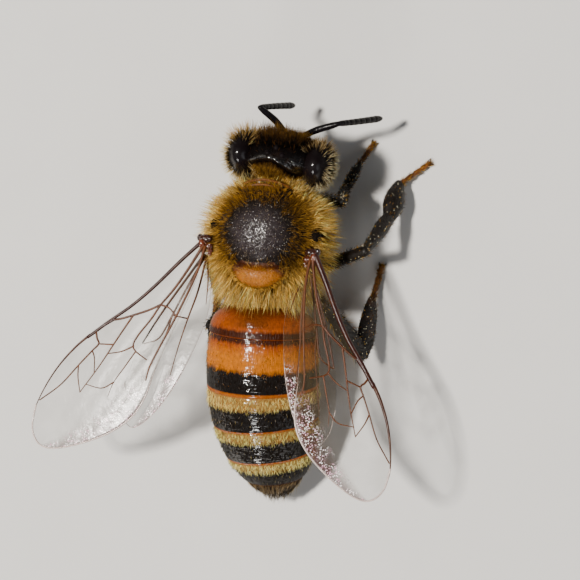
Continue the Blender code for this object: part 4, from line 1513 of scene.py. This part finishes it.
class BEE_OT_head_coat(bpy.types.Operator):
    """Grow the head's coat: the brow's fringe, the face, the nape and the sparse hair of the eyes"""

    bl_idname = "bee.head_coat"
    bl_label = "Head coat"

    # for each eye: how far up the hair grows, its pale colour, the share of dark hairs, and its length
    EYES = {"left": (0.30, (0.92, 0.64, 0.26), 0.30, 1.3), "right": (0.24, (0.95, 0.76, 0.42), 0.45, 1.0)}

    def execute(self, context):
        gold, cream = gold_and_cream()
        middle, turn = head_frame()
        skin = bpy.data.objects["head_shell"]
        rng = np.random.default_rng(31)

        def keep(places, normals, marks):
            x, y, z = ((places - middle) @ turn).T
            eyes = bell(np.hypot((np.abs(x) - 1.30) / 0.55, (z - 0.25) / 1.2), 0, 0.85)
            eyes = np.maximum(eyes, ramp(np.abs(x), 0.80, 0.95) * ramp(z, 0.2, 0.5))
            rear = nape_line(x) + 0.08
            bare_top = ramp(z, 0.45, 0.8) * (1 - ramp(y, rear, rear + 0.08)) * ramp(y, -0.70, -0.48)
            shield = ramp(-y, 0.3, 0.6) * bell(np.hypot(x / 0.6, (z + 0.8) / 0.5), 0, 0.7) * 0.7
            return np.clip(1 - eyes - bare_top - shield, 0, 1)

        total = context.scene.bee_coat.head_hairs * 3
        places, normals, _, _ = roots = roots_on(skin, total, rng, keep)
        count = len(places)
        x, y, z = ((places - middle) @ turn).T
        brow = ramp(z, 0.2, 0.9) * ramp(-y, 0.2, 0.5)
        tall = 0.18 * brow * bell(x, 0.65, 0.45)
        nape = ramp(y, 0.1, 0.4)
        lie = normals + (np.array((0, -0.45, 0.30)) @ turn.T) * brow[:, None]
        lie += np.array((0, 0.2, 0.3)) * nape[:, None] + scattered(rng, count, 0.20)
        length = (0.18 + 0.30 * brow + tall + 0.04 * nape) * rng.uniform(0.5, 1.3, count)
        share = 0.20 + 0.5 * (1 - ramp(z, 0.0, 1.0)) + 0.2 * rng.normal(size=count) - 0.1 * nape
        tip = mixed(gold, cream, np.clip(share, 0, 1)) * np.where(rng.random(count) < 0.3, 1.6, 0.8)[:, None]
        tip *= (1 - 0.45 * nape * ramp(z, 0.4, 0.9) * (1 - 0.8 * ramp(x, 0.2, 0.9)))[:, None]
        umber = brow * np.where(rng.random(count) < 0.55, 0.75, 0.2)
        umber *= 1 - ramp(-x, 0.5, 1.0) - ramp(x, 0.7, 1.1)
        umber = np.maximum(umber, 0.85 * ramp(y, -0.86, -0.62) * ramp(z, 0.45, 0.8) * (1 - nape))
        tip = mixed(tip, HAIR_TINTS["umber"], np.clip(umber, 0, 1))
        tip = mixed(tip, HAIR_TINTS["pale gold"], 0.5 * ramp(x, 0.7, 1.1) * ramp(z, 0.2, 0.9))
        grow("coat_head", roots, lie, length, (tip * (0.10, 0.07, 0.05), tip), cuts=(0.5,), width=0.60,
             tuft=5, pull=0.25, fade=2.0, uneven=0.26, seed=32)
        self.crown(skin, middle, turn)
        for name, side in SIDES:
            self.eye_hair(name, side, gold)
        return {"FINISHED"}

    def crown(self, skin, middle, turn):
        """Short dark hair that thins out over the black top of the head."""
        rng = np.random.default_rng(51)

        def keep(places, normals, marks):
            x, y, z = ((places - middle) @ turn).T
            inside = (z > 0.5) * (np.abs(x) < 1.1) * (y < 0.1) * (y > -0.9)
            return inside * (0.08 + 0.92 * ramp(-y, 0.22, 0.55))

        places, normals, _, _ = roots = roots_on(skin, CROWN_HAIRS, rng, keep)
        count = len(places)
        front = ramp(-((places - middle) @ turn)[:, 1], 0.10, 0.60)
        tip = np.where(rng.random((count, 1)) < 0.14, (0.13, 0.052, 0.009), (0.008, 0.005, 0.002))
        lie = normals + np.array((0, -0.45, 0.3)) + scattered(rng, count, 0.25)
        size = rng.uniform(0.08, 0.20, count) * (1 + 1.1 * front)
        grow("coat_crown", roots, lie, size, (tip * 0.2, tip), width=0.7, tuft=4, pull=0.2, fade=1.2,
             seed=52)

    def eye_hair(self, name, side, gold):
        """Sparse pale and dark hair that stands round one eye."""
        rng = np.random.default_rng(41 + side)
        skin = bpy.data.objects[f"eye_{name}_gloss"]
        middle = middle_of(f"eye_{name}")
        high, pale, dark_share, long = self.EYES[name]

        def keep(places, normals, marks):
            around = 1 - ramp(normals[:, 2], high, high + 0.25)
            front = ramp(-normals[:, 1], 0.25, 0.7) * (1 - ramp(normals[:, 2], high + 0.2, high + 0.45))
            outer = np.clip((places[:, 0] - middle[0]) * side * 2.2 + 0.6, 0, 1)
            return np.maximum(around * outer, front) * 0.8

        places, normals, _, _ = roots = roots_on(skin, EYE_HAIRS, rng, keep)
        count = len(places)
        front = ramp(-normals[:, 1], 0.2, 0.7)
        tip = mixed(pale, gold, np.clip(0.5 * front + 0.3 * rng.random(count), 0, 1))
        dark = rng.random(count) < dark_share
        tip = np.where(dark[:, None], HAIR_TINTS["eye dark"], tip * 1.5)
        lie = normals + UP * 0.10 + scattered(rng, count, 0.12)
        size = rng.uniform(0.18, 0.36, count) * (1 + 0.35 * front) * np.where(dark, 0.6, 1.0) * long
        grow(f"coat_eye_{name}", roots, lie, size, (tip * 0.06, tip), width=0.75, tuft=2, pull=0.1, fade=1.6,
             uneven=0.3, seed=44)


class BEE_OT_abdomen_coat(bpy.types.Operator):
    """Grow the abdomen's coat: flat pale bands on the rear rings, fine gold fuzz on the front ones"""

    bl_idname = "bee.abdomen_coat"
    bl_label = "Abdomen coat"

    # for each ring: share of the hairs, where the dense band ends, hair length in the band, band colour
    BANDS = {
        1: (0.12, 0.20, 0.20, (0.66, 0.33, 0.05)),
        2: (0.17, 0.60, 0.12, (0.68, 0.26, 0.01)),
        3: (0.25, 0.36, 0.17, (1.10, 0.84, 0.27)),
        4: (0.21, 0.32, 0.17, (1.00, 0.88, 0.28)),
        5: (0.14, 0.36, 0.18, (1.10, 0.98, 0.34)),
        6: (0.24, 0.05, 0.60, (0.27, 0.20, 0.11)),
    }

    def execute(self, context):
        total = context.scene.bee_coat.abdomen_hairs
        for ring, (part, band, length, colour) in self.BANDS.items():
            rng = np.random.default_rng(60 + ring)
            skin = bpy.data.objects[f"abdomen_shell_{ring}"]
            fuzz = 0.30 if ring == 2 else 0.72

            def keep(places, normals, marks):
                ragged = marks["along"] + rng.normal(size=len(places)) * 0.06
                dense = 1 - ramp(ragged, band - 0.07, band + 0.09)
                side = bell(marks["rise"], 0.0, 0.30)
                seen = (marks["along"] > 0.004) * (marks["along"] < (1.1 if ring == 6 else 0.85))
                return seen * np.clip(dense * fuzz + 0.13 + 0.12 * side, 0, 1)

            places, normals, _, marks = roots = roots_on(skin, int(total * part * 2.2), rng, keep)
            count = len(places)
            along, rise = marks["along"], marks["rise"]
            edge = bell(rise, -0.05, 0.28)
            flow = np.array((0, 1.0, -0.25))
            stand = 0.02 + 0.15 * edge if ring == 6 else 0.20 + 0.5 * edge
            lie = flow + normals * stand[:, None] + scattered(rng, count, 0.17)
            sparse = ramp(along, band - 0.02, band + 0.05)
            size = length * (1 - 0.35 * sparse) * (1 + 0.35 * edge) * rng.uniform(0.6, 1.2, count)
            if ring == 6:
                aside = places[:, 0] - places[:, 0].mean()
                aside /= np.abs(aside).max()
                lie[:, 0] -= aside
                size *= (1 - 0.45 * aside ** 2) * rng.uniform(0.7, 1.15, count)
            dark = np.where(rng.random((count, 1)) < (0.5 if ring == 6 else 0.14), 0.35, 0.02)
            dark = mixed(dark * colour, (0.50, 0.44, 0.36), rng.random(count) < 0.10)
            tip = mixed(np.where(rng.random((count, 1)) < 0.3, 1.4, 0.9) * colour, dark, sparse)
            tip = mixed(tip, HAIR_TINTS["straw"], np.clip(edge * 0.9, 0, 1))
            tip *= np.where(rng.random((count, 1)) < 0.16, 0.2, 1.0)
            grow(f"coat_abdomen_{ring}", roots, lie, size, (tip * (0.58, 0.48, 0.40), tip), "band_brown",
                 normals * -0.12, width=0.50, tuft=4, pull=0.2, uneven=0.26, seed=70 + ring)
        return {"FINISHED"}


class BEE_OT_leg_coat(bpy.types.Operator):
    """Grow the bristles of the legs, with pale fringes and golden brushes on the feet"""

    bl_idname = "bee.leg_coat"
    bl_label = "Leg coat"

    # for each segment: share of the leg's hairs, length, how far they stand out, and how golden they are
    BRISTLES = {
        "hip": (0.14, 0.18, 0.8, 0.5),
        "femur": (0.20, 0.14, 0.7, 0.04),
        "tibia": (0.22, 0.12, 0.7, 0.03),
        "basitarsus": (0.26, 0.10, 0.6, 0.05),
        "foot": (0.18, 0.11, 0.7, 0.5),
    }

    def execute(self, context):
        for number, leg in enumerate(LEG_NAMES):
            joints = leg_joints(leg)
            for index, segment in enumerate(self.BRISTLES):
                flow = unit(joints[index + 1] - joints[index])
                self.brush(context, leg, segment, flow, number * 10 + index)
        return {"FINISHED"}

    def brush(self, context, leg, segment, flow, number):
        """The bristles of one segment, which lie along its flow."""
        gold, cream = gold_and_cream()
        part, length, stand, golden = self.BRISTLES[segment]
        rng = np.random.default_rng(100 + number)
        name = f"leg_{leg}_{segment}" + ("" if segment == "foot" else "_shell")
        skin = bpy.data.objects[name]
        hind = leg.startswith("hind")
        total = context.scene.bee_coat.leg_hairs * (1.5 if hind else 1.0)
        roots = roots_on(skin, int(total * part), rng, lambda p, n, m: p[:, 2] > 0.05)
        places, normals, _, _ = roots
        count = len(places)
        fringe = np.abs(normals @ unit(BROAD))
        under = ramp(-normals[:, 2], -0.1, 0.5)
        lie = flow * 0.75 + normals * stand + scattered(rng, count, 0.15)
        size = length * rng.uniform(0.6, 1.25, count) * (0.8 + 0.5 * fringe + 0.5 * under)
        if hind and segment == "tibia":
            size *= 1 + 1.4 * ramp(fringe, 0.6, 0.95)
        pale = rng.random(count) < golden + 0.05 + 0.25 * ramp(fringe, 0.7, 1) + 0.4 * under
        bright = mixed(gold * 1.3, np.minimum(cream * 1.3, 1), fringe * 0.8)
        tip = mixed(HAIR_TINTS["dark"], bright, pale)
        grow(f"coat_{leg}_{segment}", roots, lie, size, (tip * 0.6, tip), "leg_brown", width=0.55, tuft=3,
             pull=0.2, seed=200 + number)
        if segment in ("femur", "tibia", "basitarsus"):
            self.pollen(f"pollen_{leg}_{segment}", skin, rng)

    def pollen(self, name, skin, rng):
        """A few pale grains caught in the bristles."""
        places, normals, *rest = roots_on(skin, GRAINS, rng, lambda p, n, m: ramp(n[:, 2], 0.0, 0.7))
        count = len(places)
        tint = mixed((0.95, 0.86, 0.62), (0.85, 0.52, 0.12), rng.random(count) < 0.3)
        lifted = (places + normals * 0.03, normals, *rest)
        grow(name, lifted, normals, rng.uniform(0.03, 0.05, count), (tint, tint),
             width=rng.uniform(1.0, 1.7, count), tuft=1, pull=0.0, stray=0.6, seed=7)


# ---------------------------------------------------------------- stage


class BEE_OT_stage(bpy.types.Operator):
    """Make the pale floor, the lamps and the camera"""

    bl_idname = "bee.stage"
    bl_label = "Stage"

    VIEW_HEIGHT = 78.0  # degrees above the floor, seen from the bee's right
    VIEW_ROLL = 5.0  # degrees that the bee's heading leans to the right of upright
    LENS = 150.0
    DISTANCE = 86.0
    ROUND = (0, -0.05, 5.2)  # the back's round
    AIM = (1.1, -2.2)  # the middle of the view from the back's round, to the right and up
    LAMPS_AIM = (0, 2, 3)
    SKY, SKY_STRENGTH = (0.80, 0.84, 0.90), 0.11

    def execute(self, context):
        bm = bmesh.new()
        bmesh.ops.create_grid(bm, x_segments=8, y_segments=8, size=FLOOR_HALF * MM)
        mesh = bpy.data.meshes.new("floor")
        bm.to_mesh(mesh)
        bm.free()
        mesh.materials.append(material("floor_paper"))
        floor = bpy.data.objects.new("floor", mesh)
        context.scene.collection.objects.link(floor)
        back, right, top = self.axes()
        self.camera(context, back, right, top)
        self.lamps(context, back, right, top)
        return {"FINISHED"}

    def axes(self):
        """The directions towards the camera, and to the right and top of the view."""
        height = math.radians(self.VIEW_HEIGHT)
        back = Vector((-math.cos(height), 0, math.sin(height)))
        right = (-back).cross(Vector((0, -1, 0))).normalized()
        top = right.cross(-back)
        roll = math.radians(self.VIEW_ROLL)
        c, s = math.cos(roll), math.sin(roll)
        return back, right * c + top * s, top * c - right * s

    def camera(self, context, back, right, top):
        data = bpy.data.cameras.new("camera")
        data.lens = self.LENS
        data.clip_start = 1 * MM
        data.clip_end = 10.0
        camera = bpy.data.objects.new("camera", data)
        place = Matrix((right, top, back)).transposed().to_4x4()
        across, down = self.AIM
        target = spot(*self.ROUND) + (right * across + top * down) * MM
        place.translation = target + back * self.DISTANCE * MM
        camera.matrix_world = place
        context.scene.collection.objects.link(camera)
        context.scene.camera = camera

    def lamps(self, context, back, right, top):
        for name, way, distance, size, power, tint in (
            ("key", back - right * 0.60 + top * 0.06, 260, 26, 1.18, (1.0, 0.95, 0.88)),
            ("fill", back + right * 1.1 - top * 0.5, 300, 260, 0.14, (0.92, 0.96, 1.0)),
            ("rear", back * 0.6 - right * 0.4 - top * 1.1, 300, 60, 0.22, (1.0, 0.98, 0.95)),
        ):
            data = bpy.data.lights.new(name, "AREA")
            data.shape = "DISK"
            data.size = size * MM
            data.energy = power
            data.color = tint
            lamp = bpy.data.objects.new(name, data)
            way = way.normalized()
            lamp.location = spot(*self.LAMPS_AIM) + way * distance * MM
            lamp.rotation_euler = way.to_track_quat("Z", "Y").to_euler()
            context.scene.collection.objects.link(lamp)
        world = bpy.data.worlds.new("studio")
        world.use_nodes = True
        tree = world.node_tree
        feed(tree, tree.nodes["Background"], {"Color": self.SKY, "Strength": self.SKY_STRENGTH})
        context.scene.world = world


STEPS = (
    BEE_OT_stage, BEE_OT_head, BEE_OT_eyes, BEE_OT_mouth, BEE_OT_feelers, BEE_OT_thorax, BEE_OT_abdomen,
    BEE_OT_wings, BEE_OT_legs, BEE_OT_thorax_coat, BEE_OT_head_coat, BEE_OT_abdomen_coat, BEE_OT_leg_coat,
)


class BEE_PT_panel(bpy.types.Panel):
    """Sizes, colours and steps of the bee"""

    bl_label = "Honey Bee"
    bl_idname = "BEE_PT_panel"
    bl_space_type = "VIEW_3D"
    bl_region_type = "UI"
    bl_category = "Bee"

    def draw(self, context):
        layout = self.layout
        for group in (context.scene.bee_sizes, context.scene.bee_coat, context.scene.bee_colours):
            for key in group.__annotations__:
                layout.prop(group, key)
        for step in STEPS:
            layout.operator(step.bl_idname)


GROUPS = (("bee_sizes", BeeSizes), ("bee_coat", BeeCoat), ("bee_colours", BeeColours))
CLASSES = (BeeSizes, BeeCoat, BeeColours, *STEPS, BEE_PT_panel)


def register():
    for cls in CLASSES:
        bpy.utils.register_class(cls)
    for name, group in GROUPS:
        setattr(bpy.types.Scene, name, PointerProperty(type=group))


def unregister():
    for name, _ in GROUPS:
        delattr(bpy.types.Scene, name)
    for cls in reversed(CLASSES):
        bpy.utils.unregister_class(cls)


def main():
    register()
    for name in ("Cube", "Light", "Camera"):
        if name in bpy.data.objects:
            bpy.data.objects.remove(bpy.data.objects[name], do_unlink=True)
    for step in STEPS:
        group, name = step.bl_idname.split(".")
        getattr(getattr(bpy.ops, group), name)()


if __name__ == "__main__":
    main()
